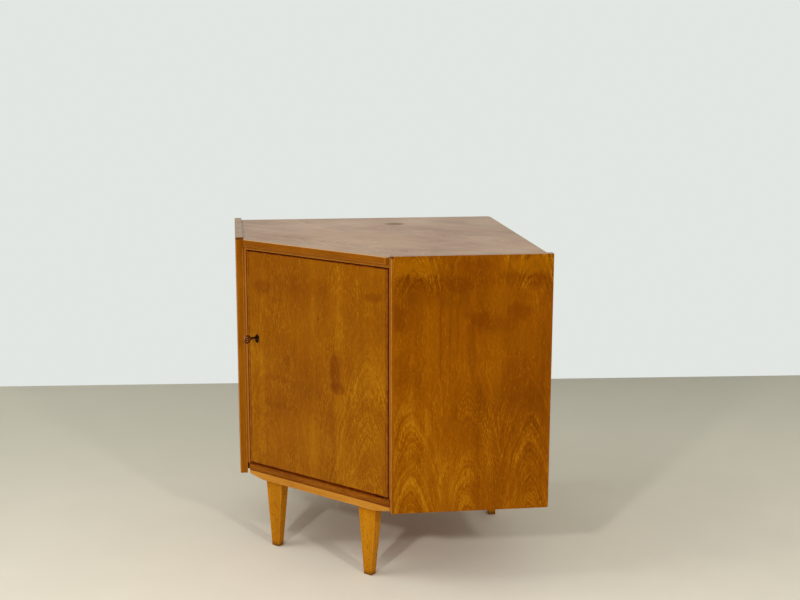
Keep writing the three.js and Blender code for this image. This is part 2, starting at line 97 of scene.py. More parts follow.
@dataclass(frozen=True)
class Plan:
    """The five-sided plan, laid out from the room corner as the part's source does."""

    wall: float = 0.709
    side: float = 0.3705
    thickness: float = 0.018
    height: float = 0.780
    side_height: float = 0.600
    corner_y: float = 0.399282
    seat_gap: float = 0.0003

    @property
    def inner(self) -> float:
        """How far along a wall the inner face of a side panel lies."""
        return self.wall - self.thickness

    def at_wall(self, hand: int, along: float, out: float) -> tuple[float, float]:
        """A place beside a wall.

        Args:
            hand: 1 for the right wall and -1 for the left one.
            along: how far from the room corner, along the wall.
            out: how far from the wall.

        Returns:
            Its x and y.
        """
        return hand * (along - out) * HALF, self.corner_y - (along + out) * HALF

    def front_y(self, setback: float) -> float:
        """The y of a line that lies this far behind the front edges of the side panels."""
        return self.corner_y + setback - (self.wall + self.side) * HALF

    def inner_half(self, setback: float) -> float:
        """Half the width between the side panels at this setback."""
        return (self.wall - self.side - 2 * self.thickness) * HALF + setback


PLAN = Plan()


# Surfaces

# How far wear reaches from an arris, at most and in widths of the arris, and the shares that
# keep small rings from crossing
WEAR_REACH = 0.004
WEAR_WIDTHS = 1.5
LONGEST_FADE = 0.35
END_FADE = 0.3
LEAST_RADIUS = 0.15
JOINT_RADIUS = 0.1

# Faces that meet more flatly than the first angle are one face, and ones that meet more sharply
# than the second have their arris eased
FLAT = math.radians(0.5)
SHARP = math.radians(35)

# The least radius of a turning, and the least number that a length is divided by
POLE_RADIUS = 1e-5
LEAST_DIVISOR = 1e-3


def inset_corners(outline: np.ndarray, inset: np.ndarray) -> np.ndarray:
    """Corners of a convex outline, each moved in from both of its sides.

    Each side is a line n . p = d with n pointing outwards. Corner i is where the sides i - 1 and i
    cross once both have moved to d - inset i.

    Args:
        outline: the corners, counter-clockwise, one row each.
        inset: how far each corner moves in from its sides.

    Returns:
        The new corners, one row each.
    """
    side = np.roll(outline, -1, 0) - outline
    normal = np.column_stack((side[:, 1], -side[:, 0]))
    normal /= np.linalg.norm(normal, axis=1)[:, None]
    reach = np.einsum("ij,ij->i", normal, outline)
    before, reach_before = np.roll(normal, 1, 0), np.roll(reach, 1) - inset
    reach = reach - inset
    cross = before[:, 0] * normal[:, 1] - before[:, 1] * normal[:, 0]
    x = (reach_before * normal[:, 1] - reach * before[:, 1]) / cross
    y = (before[:, 0] * reach - normal[:, 0] * reach_before) / cross
    return np.column_stack((x, y))


def rounded_ring(
    outline: np.ndarray, inset: float, radius: np.ndarray, fade: float, steps: int
) -> np.ndarray:
    """A convex outline moved inwards, with its corners rounded.

    The point at share t of corner i is c + radius * n(t), where c is the corner moved in by
    inset + radius and n(t) turns from the normal of side i - 1 to that of side i. One more point
    before and one after each corner lie on the sides, where the wear of the corner has faded.

    Args:
        outline: the corners, counter-clockwise, one row each.
        inset: how far the sides move in.
        radius: the radius of each corner.
        fade: how far along the sides the wear of a corner reaches.
        steps: how many steps each corner is drawn in.

    Returns:
        The ring, one row for each point.
    """
    side = np.roll(outline, -1, 0) - outline
    heading = np.arctan2(-side[:, 0], side[:, 1])
    start = np.roll(heading, 1)
    turn = (heading - start) % math.tau
    angle = start[:, None] + turn[:, None] * np.linspace(0, 1, steps + 1)
    corner = inset_corners(outline, inset + radius)
    arc = corner[:, None, :] + radius[:, None, None] * np.stack((np.cos(angle), np.sin(angle)), -1)
    inner = np.roll(corner, -1, 0) - corner
    length = np.linalg.norm(inner, axis=1)
    reach = (inner / length[:, None]) * np.minimum(fade, length * LONGEST_FADE)[:, None]
    first = arc[:, :1] - np.roll(reach, 1, 0)[:, None]
    last = arc[:, -1:] + reach[:, None]
    return np.concatenate((first, arc, last), 1).reshape(-1, 2)


@dataclass
class Surface:
    """A mesh being made: its points, its faces, and how near each point is to an arris."""

    points: np.ndarray
    faces: list[list[int]]
    arris: np.ndarray

    def turned(self, axes: np.ndarray, origin: Point = (0.0, 0.0, 0.0)) -> "Surface":
        """The same surface with its three axes laid along other ones.

        Args:
            axes: where the first, second and third axis go, one row each.
            origin: where its own origin goes.

        Returns:
            The turned surface, with its faces still pointing outwards.
        """
        points = self.points @ np.asarray(axes, float) + np.asarray(origin)
        mirrored = np.linalg.det(np.asarray(axes, float)) < 0
        faces = [face[::-1] for face in self.faces] if mirrored else self.faces
        return Surface(points, faces, self.arris)

    def joined(self, other: "Surface") -> "Surface":
        """This surface and another as one mesh.

        Args:
            other: the other surface.

        Returns:
            One surface with the points and faces of both.
        """
        start = len(self.points)
        moved = [[index + start for index in face] for face in other.faces]
        return Surface(
            np.concatenate((self.points, other.points)),
            self.faces + moved,
            np.concatenate((self.arris, other.arris)),
        )


def loft(rings: np.ndarray, arris: np.ndarray | None = None, closed: bool = False) -> Surface:
    """A skin over rings of points: point (i, j) joins (i, j + 1), (i + 1, j + 1) and (i + 1, j).

    Args:
        rings: rows of points, each row counter-clockwise seen from the last row.
        arris: how near each point is to an arris, from 0 to 1.
        closed: whether the last row joins the first, instead of both ends being capped.

    Returns:
        The surface.
    """
    rows, around = rings.shape[:2]
    index = np.arange(rows * around).reshape(rows, around)
    lower = index if closed else index[:-1]
    upper = np.roll(index, -1, 0) if closed else index[1:]
    quads = np.stack((lower, np.roll(lower, -1, 1), np.roll(upper, -1, 1), upper), -1)
    faces = quads.reshape(-1, 4).tolist()
    if not closed:
        faces += [index[0][::-1].tolist(), index[-1].tolist()]
    weight = np.zeros(rows * around) if arris is None else arris.ravel()
    return Surface(rings.reshape(-1, 3), faces, weight)


def stacked(rings: list[np.ndarray], levels: np.ndarray) -> np.ndarray:
    """Flat rings laid at their levels, as one array."""
    return np.stack([np.column_stack((ring, np.full(len(ring), z))) for ring, z in zip(rings, levels)])


def rounded_prism(
    outline: np.ndarray, low: float, high: float, ease: float,
    steps: int = 3, joints: tuple[int, ...] = (),
) -> Surface:
    """A board: a convex outline carried up from one level to another, with every arris eased.

    At angle a of an arris the ring has moved in by ease * (1 - sin a) and lies
    ease * (1 - cos a) from the end face.

    Args:
        outline: the corners in plan, counter-clockwise, one row each.
        low: the lower level.
        high: the upper level.
        ease: the radius of the arrises.
        steps: how many steps each arris is drawn in.
        joints: the corners that lie at a glued joint, and so are hardly eased and not worn.

    Returns:
        The surface, with its arrises marked.
    """
    fade = min(WEAR_REACH, WEAR_WIDTHS * ease)
    bare = np.ones(len(outline))
    bare[list(joints)] = 0.0
    angle = np.linspace(0, math.pi / 2, steps + 1)
    end_fade = min(fade, END_FADE * (high - low - 2 * ease))
    rise = np.concatenate(([0.0], ease * (1 - np.cos(angle)), [ease + end_fade]))
    inset = np.concatenate(([ease + fade * 0.5], ease * (1 - np.sin(angle)), [0.0]))
    weight = np.concatenate(([0.0], np.ones(steps + 1), [0.0]))
    level = np.concatenate((low + rise, (high - rise)[::-1]))
    inset = np.concatenate((inset, inset[::-1]))
    weight = np.concatenate((weight, weight[::-1]))
    corner = JOINT_RADIUS + (1 - JOINT_RADIUS) * bare
    radius = [np.maximum(ease - move, ease * LEAST_RADIUS) * corner for move in inset]
    flat = [rounded_ring(outline, move, size, fade, steps) for move, size in zip(inset, radius)]
    around = np.outer(bare, [0.0] + [1.0] * (steps + 1) + [0.0]).ravel()
    rings = stacked(flat, level)
    at_joint = np.repeat(bare, steps + 3)
    arris = np.maximum(weight[:, None] * at_joint, around[None, :])
    arris[0] = arris[-1] = 0.0
    return loft(rings, arris)


def tube(path: np.ndarray, radius: np.ndarray, across: Point, closed: bool, steps: int = 12) -> Surface:
    """A round bar along a flat path.

    The ring at path point p is p + radius * (cos a * m + sin a * across), where m lies in the
    path's plane, square to the path.

    Args:
        path: the points of the path, one row each, all in one plane.
        radius: the bar's radius at each point.
        across: the unit normal of that plane.
        closed: whether the path joins up.
        steps: how many points each ring has.

    Returns:
        The surface.
    """
    if closed:
        heading = np.roll(path, -1, 0) - np.roll(path, 1, 0)
    else:
        heading = np.gradient(path, axis=0)
    heading /= np.linalg.norm(heading, axis=1)[:, None]
    normal = np.cross(np.asarray(across, float), heading)
    angle = np.linspace(0, math.tau, steps, endpoint=False)[None, :, None]
    spread = np.cos(angle) * normal[:, None, :] + np.sin(angle) * np.asarray(across, float)
    rings = path[:, None, :] + np.asarray(radius)[:, None, None] * spread
    return loft(rings, closed=closed)


def turning(profile: np.ndarray, steps: int = 24) -> Surface:
    """A solid of revolution about the third axis: (r, h) goes to (r cos a, r sin a, h).

    Args:
        profile: radius and height, one row each, from the lowest to the highest.
        steps: how many points each ring has.

    Returns:
        The surface.
    """
    angle = np.linspace(0, math.tau, steps, endpoint=False)
    circle = np.stack((np.cos(angle), np.sin(angle)), -1)
    flat = np.maximum(profile[:, 0], POLE_RADIUS)[:, None, None] * circle[None]
    height = np.broadcast_to(profile[:, 1][:, None, None], (*flat.shape[:2], 1))
    return loft(np.concatenate((flat, height), -1))


# Pieces


def add_piece(node: str, body: Body, surface: Surface) -> bpy.types.Object:
    """Makes a piece from a surface, in place of a CAD node.

    Args:
        node: the CAD node that it stands for.
        body: the body that it moves with.
        surface: its points and faces.

    Returns:
        The new object.
    """
    mesh = bpy.data.meshes.new(f"{node}_shaped")
    mesh.from_pydata(surface.points.tolist(), [], surface.faces)
    mark = mesh.attributes.new("arris", "FLOAT", "POINT")
    mark.data.foreach_set("value", surface.arris.astype(np.float32))
    mesh.polygons.foreach_set("use_smooth", np.full(len(mesh.polygons), True))
    mesh.update()
    return settle(bpy.data.objects.new(f"{node}_shaped", mesh), node, body)


def eased_copy(node: str, body: Body, ease: float) -> bpy.types.Object:
    """A copy of a CAD node with its recesses and holes, and with its sharp arrises eased.

    Points closer than a micrometre become one, flat neighbouring faces become one, and a Bevel
    modifier rounds what is still sharp.

    Args:
        node: the CAD node that it stands for.
        body: the body that it moves with.
        ease: the width of the bevel.

    Returns:
        The new object.
    """
    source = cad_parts[node].data
    points = np.zeros(len(source.vertices) * 3)
    source.vertices.foreach_get("co", points)
    corners = np.zeros(len(source.loops), int)
    source.loops.foreach_get("vertex_index", corners)
    places, merged = np.unique(np.round(points.reshape(-1, 3), 6), axis=0, return_inverse=True)
    triangles = merged.ravel()[corners].reshape(-1, 3)
    distinct = (triangles != np.roll(triangles, 1, 1)).all(1)
    mesh = bpy.data.meshes.new(f"{node}_eased")
    mesh.from_pydata(places.tolist(), [], triangles[distinct].tolist())
    work = bmesh.new()
    work.from_mesh(mesh)
    bmesh.ops.dissolve_limit(work, angle_limit=FLAT, verts=work.verts, edges=work.edges, delimit=set())
    work.to_mesh(mesh)
    work.free()
    mesh.polygons.foreach_set("use_smooth", np.full(len(mesh.polygons), True))
    piece = bpy.data.objects.new(f"{node}_eased", mesh)
    bevel = piece.modifiers.new("ease", "BEVEL")
    bevel.width = ease
    bevel.segments = 3
    bevel.limit_method = "ANGLE"
    bevel.angle_limit = SHARP
    bevel.harden_normals = True
    return settle(piece, node, body)


def settle(piece: bpy.types.Object, node: str, body: Body) -> bpy.types.Object:
    """Puts a piece in the scene, hides the CAD node that it stands for, and parents it to the empty of
    the body that it moves with.

    Args:
        piece: the new object.
        node: the CAD node that it stands for.
        body: the body that it moves with.

    Returns:
        The same object.
    """
    bpy.context.scene.collection.objects.link(piece)
    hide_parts(node)
    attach(piece, body.value)
    return piece


def node_box(node: str) -> tuple[Point, Point]:
    """The lowest and the highest corner of a CAD node."""
    low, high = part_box(node)
    return tuple(low), tuple(high)


def dress(piece: bpy.types.Object, material: bpy.types.Material) -> None:
    """Gives a piece one material, whether or not it already has slots.

    Args:
        piece: the object.
        material: the material that it gets.
    """
    if piece.material_slots:
        for place in piece.material_slots:
            place.material = material
    else:
        piece.data.materials.append(material)


def dress_nodes(material: bpy.types.Material, *names: str) -> None:
    """Gives one material to CAD nodes whose shapes stay."""
    for name in names:
        dress(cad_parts[name], material)


def nodes_starting(*starts: str) -> list[str]:
    """The CAD nodes whose names start with one of these words."""
    return [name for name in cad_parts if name.startswith(starts)]


# Node trees


class Wiring:
    """Adds nodes to one tree and joins them, so that a finish reads like a formula."""

    def __init__(self, tree: bpy.types.NodeTree) -> None:
        """Starts on a tree."""
        self.tree = tree

    def feed(self, socket: Socket, value: object) -> None:
        """Joins a socket to an output, or gives it a number, colour or vector.

        Args:
            socket: the input that is fed.
            value: an output, or what the input holds.
        """
        if isinstance(value, bpy.types.NodeSocket):
            self.tree.links.new(value, socket)
        else:
            socket.default_value = value

    def node(self, kind: str, inputs: dict | None = None, **settings: object) -> bpy.types.Node:
        """Adds a node.

        Args:
            kind: Blender's name for the node.
            inputs: what its sockets are joined to or hold, by name or number.
            settings: its own settings.

        Returns:
            The node.
        """
        made = self.tree.nodes.new(kind)
        for name, value in settings.items():
            setattr(made, name, value)
        for name, value in (inputs or {}).items():
            self.feed(made.inputs[name], value)
        return made

    def math(self, operation: str, *values: object) -> Socket:
        """The result of a Math node on one or two values."""
        return self.node("ShaderNodeMath", dict(enumerate(values)), operation=operation).outputs[0]

    def minus(self, first: object, second: object) -> Socket:
        """The difference of two values."""
        return self.math("SUBTRACT", first, second)

    def off_half(self, value: object) -> Socket:
        """How far a value lies above a half."""
        return self.minus(value, 0.5)

    def add(self, *values: object) -> Socket:
        """The sum of several values.

        Args:
            values: outputs or numbers.

        Returns:
            The sum.
        """
        total = values[0]
        for value in values[1:]:
            total = self.math("ADD", total, value)
        return total

    def times(self, *values: object) -> Socket:
        """The product of several values.

        Args:
            values: outputs or numbers.

        Returns:
            The product.
        """
        total = values[0]
        for value in values[1:]:
            total = self.math("MULTIPLY", total, value)
        return total

    def vector(self, operation: str, first: object, second: object) -> Socket:
        """The result of a Vector Math node on two vectors."""
        return self.node("ShaderNodeVectorMath", {0: first, 1: second}, operation=operation).outputs[0]

    def along(self, vector: Socket, axis: Point) -> Socket:
        """How far a place lies along an axis."""
        made = self.node("ShaderNodeVectorMath", {0: vector, 1: axis}, operation="DOT_PRODUCT")
        return made.outputs["Value"]

    def join(self, x: object, y: object, z: object) -> Socket:
        """A vector from three values."""
        return self.node("ShaderNodeCombineXYZ", {0: x, 1: y, 2: z}).outputs[0]

    def stretch(self, vector: Socket, scale: Point) -> Socket:
        """A vector with each of its parts multiplied."""
        return self.vector("MULTIPLY", vector, scale)

    def noise(
        self, vector: Socket, scale: Point, detail: float = 2.0, roughness: float = 0.5
    ) -> Socket:
        """Noise from 0 to 1 over a stretched vector.

        Args:
            vector: the place.
            scale: how fine the noise is along each axis.
            detail: how many finer layers it has.
            roughness: how strong the finer layers are.

        Returns:
            The noise.
        """
        inputs = {
            "Vector": self.stretch(vector, scale),
            "Scale": 1.0,
            "Detail": detail,
            "Roughness": roughness,
        }
        return self.node("ShaderNodeTexNoise", inputs).outputs["Fac"]

    def smooth(
        self, value: Socket, low: float, high: float, start: float = 0.0, end: float = 1.0
    ) -> Socket:
        """A smooth step from start to end while the value goes from low to high.

        Args:
            value: what the step depends on.
            low: the value at which the step starts.
            high: the value at which it ends.
            start: the result before the step.
            end: the result after it.

        Returns:
            The result.
        """
        inputs = {"Value": value, "From Min": low, "From Max": high, "To Min": start, "To Max": end}
        made = self.node("ShaderNodeMapRange", inputs, interpolation_type="SMOOTHSTEP", clamp=True)
        return made.outputs[0]

    def mix(self, share: object, first: object, second: object) -> Socket:
        """Two colours mixed."""
        return self.node("ShaderNodeMix", {0: share, 6: first, 7: second}, data_type="RGBA").outputs[2]

    def mix_shaders(
        self, share: Socket, first: bpy.types.Node, second: bpy.types.Node
    ) -> bpy.types.Node:
        """Two shaders mixed."""
        inputs = {0: share, 1: first.outputs[0], 2: second.outputs[0]}
        return self.node("ShaderNodeMixShader", inputs)

    def group(self, tree: bpy.types.NodeTree, inputs: dict) -> bpy.types.Node:
        """Places a node group and feeds it.

        Args:
            tree: the group.
            inputs: what its sockets are joined to or hold, by name.

        Returns:
            The node.
        """
        made = self.node("ShaderNodeGroup", node_tree=tree)
        for name, value in inputs.items():
            self.feed(made.inputs[name], value)
        return made


@dataclass
class Effect:
    """A node group in the making: its wiring, its inputs and its output node."""

    name: str
    inputs: dict[str, object]
    outputs: list[str]
    wiring: Wiring = field(init=False)
    given: bpy.types.Node = field(init=False)
    result: bpy.types.Node = field(init=False)

    def __post_init__(self) -> None:
        """Makes the group, with a float socket for a number and a vector one for a tuple."""
        tree = bpy.data.node_groups.new(self.name, "ShaderNodeTree")
        for label, default in self.inputs.items():
            kind = "NodeSocketVector" if isinstance(default, tuple) else "NodeSocketFloat"
            socket = tree.interface.new_socket(label, in_out="INPUT", socket_type=kind)
            socket.default_value = default
        for label in self.outputs:
            tree.interface.new_socket(label, in_out="OUTPUT", socket_type="NodeSocketFloat")
        self.wiring = Wiring(tree)
        self.given = tree.nodes.new("NodeGroupInput")
        self.result = tree.nodes.new("NodeGroupOutput")

    def take(self, label: str) -> Socket:
        """One of the group's inputs."""
        return self.given.outputs[label]

    def give(self, label: str, value: Socket) -> None:
        """Sends a value out of the group."""
        self.wiring.feed(self.result.inputs[label], value)

    @property
    def tree(self) -> bpy.types.NodeTree:
        """The finished group."""
        return self.wiring.tree


class Effects:
    """The effects that several finishes share, each built once."""

    def __init__(self) -> None:
        """Builds every group."""
        self.fibre = self.build_fibre()
        self.flame = self.build_flame()
        self.edge_wear_and_shade_mask = self.build_edge_wear_and_shade()
        self.film = self.build_film()
        self.box_edge = self.build_box_edge()
        self.patch = self.build_patch()

    @staticmethod
    def build_fibre() -> bpy.types.NodeTree:
        """Straight grain: broad streaks, threads, short pale flecks, short dark pores, and the
        thin curly lines along which a coarse noise crosses its middle.

        Returns:
            The group.
        """
        outputs = ["Streak", "Thread", "Fleck", "Pore", "Curl"]
        effect = Effect("straight_grain", {"Place": (0.0, 0.0, 0.0), "Seed": 0.0}, outputs)
        w, seed = effect.wiring, effect.take("Seed")
        shift = w.join(seed, w.times(seed, 1.7), w.times(seed, 0.6))
        place = w.vector("ADD", effect.take("Place"), shift)
        effect.give("Streak", w.noise(place, (48, 48, 1.8), 4.0, 0.62))
        effect.give("Thread", w.noise(place, (700, 700, 30), 3.0, 0.6))
        gathered = w.smooth(w.noise(place, (26, 26, 15)), 0.42, 0.62, 0.15, 1.0)
        flecks = w.smooth(w.noise(place, (360, 360, 120)), 0.58, 0.70)
        effect.give("Fleck", w.times(flecks, gathered))
        effect.give("Pore", w.smooth(w.noise(place, (480, 480, 120), 1.0), 0.62, 0.70))
        wild = w.math("ABSOLUTE", w.off_half(w.noise(place, (130, 130, 34), 2.0, 0.6)))
        curly = w.smooth(w.noise(place, (12, 12, 8)), 0.42, 0.66, 0.3, 1.0)
        effect.give("Curl", w.times(w.smooth(wild, 0.005, 0.06, 1.0, 0.0), curly))
        return effect.tree

    @staticmethod
    def build_flame() -> bpy.types.NodeTree:
        """Crown-cut figure: bands, and thin broken lines between them, that follow
        down - lean * |across| - bow * across squared, with ragged tips.

        Returns:
            The group.
        """
        inputs = {"Across": 0.0, "Down": 0.0, "Seed": 0.0, "Lean": 1.0, "Bow": 22.0}
        inputs |= {"Pitch": 0.03, "Ragged": 0.03}
        effect = Effect("flame_figure", inputs, ["Band", "Line"])
        w, across, down = effect.wiring, effect.take("Across"), effect.take("Down")
        seed = effect.take("Seed")
        place = w.join(across, down, seed)
        ragged = w.off_half(w.noise(place, (260, 14, 1), 3.0, 0.6))
        wander = w.off_half(w.noise(place, (14, 8, 1), 1.0))
        moved = w.add(across, w.times(wander, 0.024))
        side = w.math("SQRT", w.add(w.times(moved, moved), 0.00004))
        level = w.add(
            down,
            w.times(-1.0, effect.take("Lean"), side),
            w.times(-1.0, effect.take("Bow"), moved, moved),
            w.times(ragged, effect.take("Ragged")),
            w.times(wander, 0.03),
        )
        ring = w.math("DIVIDE", level, effect.take("Pitch"))
        row = w.join(ring, seed, w.times(across, 1.5))
        shown = w.smooth(w.noise(place, (13, 8, 1)), 0.38, 0.58, 0.35, 1.0)
        band = w.off_half(w.smooth(w.noise(row, (1, 1, 1), 1.0), 0.34, 0.66))
        effect.give("Band", w.times(band, shown))
        fine = w.math("ABSOLUTE", w.off_half(w.noise(row, (2.2, 1, 1), 1.0)))
        broken = w.smooth(w.noise(place, (420, 60, 1), 1.0), 0.4, 0.58, 0.2, 1.0)
        effect.give("Line", w.times(w.smooth(fine, 0.01, 0.06, 1.0, 0.0), broken, shown))
        return effect.tree

    @staticmethod
    def build_edge_wear_and_shade() -> bpy.types.NodeTree:
        """Where an arris carries its tone, real wear on most woods and painted gap shade on some: its
        mark, broken up by noise.

        Returns:
            The group.
        """
        effect = Effect("arris_wear_and_shade", {"Arris": 0.0, "Place": (0.0, 0.0, 0.0)}, ["Worn"])
        w = effect.wiring
        broken = w.off_half(w.noise(effect.take("Place"), (55, 55, 55), 4.0, 0.6))
        level = w.add(effect.take("Arris"), w.times(broken, 1.3))
        effect.give("Worn", w.smooth(level, 0.45, 1.05))
        return effect.tree

    @staticmethod
    def build_film() -> bpy.types.NodeTree:
        """What lies on the varnish: hand smudges, slow cloudiness and specks of dust.

        Returns:
            The group.
        """
        effect = Effect("surface_film", {"Place": (0.0, 0.0, 0.0)}, ["Smudge", "Cloud", "Speck"])
        w, place = effect.wiring, effect.take("Place")
        effect.give("Smudge", w.smooth(w.noise(place, (17, 17, 17), 4.0, 0.6), 0.4, 0.7))
        effect.give("Cloud", w.noise(place, (5.5, 5.5, 5.5), 3.0))
        effect.give("Speck", w.smooth(w.noise(place, (420, 420, 420), 1.0), 0.74, 0.78))
        return effect.tree

    @staticmethod
    def build_box_edge() -> bpy.types.NodeTree:
        """The arris mark of an upright box: on its skin, the middle one of the three distances
        to the nearest faces across x, y and z is how far the nearest arris lies.

        Returns:
            The group.
        """
        inputs = {"Place": (0.0, 0.0, 0.0), "Low": (0.0, 0.0, 0.0), "High": (1.0, 1.0, 1.0)}
        effect = Effect("box_edge", inputs | {"Width": 0.003}, ["Arris"])
        w, place = effect.wiring, effect.take("Place")
        from_low = w.vector("SUBTRACT", place, effect.take("Low"))
        to_high = w.vector("SUBTRACT", effect.take("High"), place)
        near = w.vector("MINIMUM", from_low, to_high)
        x, y, z = w.node("ShaderNodeSeparateXYZ", {0: near}).outputs
        outer = w.math("MINIMUM", w.math("MAXIMUM", x, y), z)
        middle = w.math("MAXIMUM", w.math("MINIMUM", x, y), outer)
        share = w.math("DIVIDE", middle, effect.take("Width"))
        effect.give("Arris", w.smooth(share, 0.0, 1.0, 1.0, 0.0))
        return effect.tree

    @staticmethod
    def build_patch() -> bpy.types.NodeTree:
        """A soft-edged oval mark with a broken outline, round a centre.

        Returns:
            The group.
        """
        inputs = {"Across": 0.0, "Down": 0.0, "Centre across": 0.0, "Centre down": 0.0}
        inputs |= {"Half width": 0.02, "Half height": 0.02, "Roughen": 0.5}
        effect = Effect("soft_patch", inputs, ["Mark"])
        w, across, down = effect.wiring, effect.take("Across"), effect.take("Down")
        x = w.math("DIVIDE", w.minus(across, effect.take("Centre across")), effect.take("Half width"))
        y = w.math("DIVIDE", w.minus(down, effect.take("Centre down")), effect.take("Half height"))
        broken = w.off_half(w.noise(w.join(across, down, 0.0), (60, 32, 1), 3.0, 0.6))
        far = w.math("SQRT", w.add(w.times(x, x), w.times(y, y)))
        far = w.add(far, w.times(broken, effect.take("Roughen")))
        effect.give("Mark", w.smooth(far, 0.55, 1.25, 1.0, 0.0))
        return effect.tree


EFFECTS = Effects()


# Finishes


def empty_material(name: str) -> tuple[bpy.types.Material, Wiring]:
    """A material without nodes, and the wiring to add them with.

    Args:
        name: what it is called.

    Returns:
        The material and its wiring.
    """
    material = bpy.data.materials.new(name)
    material.use_nodes = True
    material.node_tree.nodes.clear()
    return material, Wiring(material.node_tree)


def new_material(name: str) -> tuple[bpy.types.Material, Wiring, bpy.types.Node]:
    """A material with one Principled shader.

    Args:
        name: what it is called.

    Returns:
        The material, its wiring and its Principled shader.
    """
    material, wiring = empty_material(name)
    shader = wiring.node("ShaderNodeBsdfPrincipled")
    wiring.node("ShaderNodeOutputMaterial", {"Surface": shader.outputs[0]})
    return material, wiring, shader


@dataclass(frozen=True)
class Stain:
    """A darker or paler mark in a veneer: its centre, its half sizes, how strong it is and how
    broken its outline is."""

    across: float
    down: float
    half_width: float
    half_height: float
    strength: float
    roughen: float = 0.9
    pale: bool = False


@dataclass(frozen=True)
class Figure:
    """The flame figure of a veneered face and how its leaves are laid.

    A place is given by how far it lies across from the first edge and down from the top.
    Centres, shades, strengths, heads and seeds have one value for each leaf between the seams,
    or one for all of them. Band, line and ground are how much the figure's two parts and its
    ground change the wood's level. The figure of a head is whole down to head_start times
    head_depth and gone at head_depth.
    """

    across_axis: Point
    across_start: float
    down_axis: Point = (0.0, 0.0, -1.0)
    down_start: float = 0.0
    seams: tuple[float, ...] = ()
    centres: tuple[float, ...] = (0.0,)
    shades: tuple[float, ...] = (0.0,)
    strengths: tuple[float, ...] = (1.0,)
    heads: tuple[float, ...] = (0.0,)
    seeds: tuple[float, ...] = (3.0,)
    head_depth: float = 0.1
    head_start: float = 0.4
    lean: float = 1.3
    bow: float = 24.0
    pitch: float = 0.036
    ragged: float = 0.03
    band: float = 0.15
    line: float = 0.36
    ground: float = -0.05
    faintest: float = 0.25
    fade_from: float = 0.0
    fade_to: float = 0.0
    drift: tuple[float, float] = (0.0, 0.0)
    stains: tuple[Stain, ...] = ()

    def place(self, w: Wiring, place: Socket) -> tuple[Socket, Socket]:
        """How far a place lies across and down the face.

        Args:
            w: the material's wiring.
            place: the place on the object.

        Returns:
            The distance across and the distance down.
        """
        across = w.minus(w.along(place, self.across_axis), self.across_start)
        down = w.minus(w.along(place, self.down_axis), self.down_start)
        return across, down

    def by_leaf(self, w: Wiring, across: Socket, values: tuple[float, ...]) -> object:
        """The value that belongs to the leaf in which a place lies, where one may serve for all.

        Args:
            w: the material's wiring.
            across: how far the place lies across the face.
            values: one for each leaf, or one for all.

        Returns:
            The leaf's value.
        """
        chosen: object = values[0]
        for seam, before, after in zip(self.seams, values, values[1:]):
            past = w.math("GREATER_THAN", across, seam)
            chosen = w.add(chosen, w.times(past, after - before))
        return chosen

    def level(self, w: Wiring, across: Socket, down: Socket) -> Socket:
        """How much the flame figure, its leaves and its slow drift lighten or darken a place.

        Args:
            w: the material's wiring.
            across: how far the place lies across the face.
            down: how far it lies down the face.

        Returns:
            What is added to the wood's own level.
        """
        inputs = {
            "Across": w.minus(across, self.by_leaf(w, across, self.centres)),
            "Down": down,
            "Lean": self.lean,
            "Bow": self.bow,
            "Pitch": self.pitch,
            "Ragged": self.ragged,
            "Seed": self.by_leaf(w, across, self.seeds),
        }
        flame = w.group(EFFECTS.flame, inputs).outputs
        level = w.add(w.times(flame["Band"], self.band), w.times(flame["Line"], self.line), self.ground)
        foot = w.smooth(down, self.fade_from, self.fade_to, self.faintest, 1.0)
        foot = w.times(foot, self.by_leaf(w, across, self.strengths))
        head = w.smooth(down, self.head_depth * self.head_start, self.head_depth, 1.0, 0.0)
        head = w.times(head, self.by_leaf(w, across, self.heads))
        return w.add(
            w.times(level, w.math("MAXIMUM", foot, head)),
            self.by_leaf(w, across, self.shades),
            w.times(across, self.drift[0]),
            w.times(down, self.drift[1]),
        )


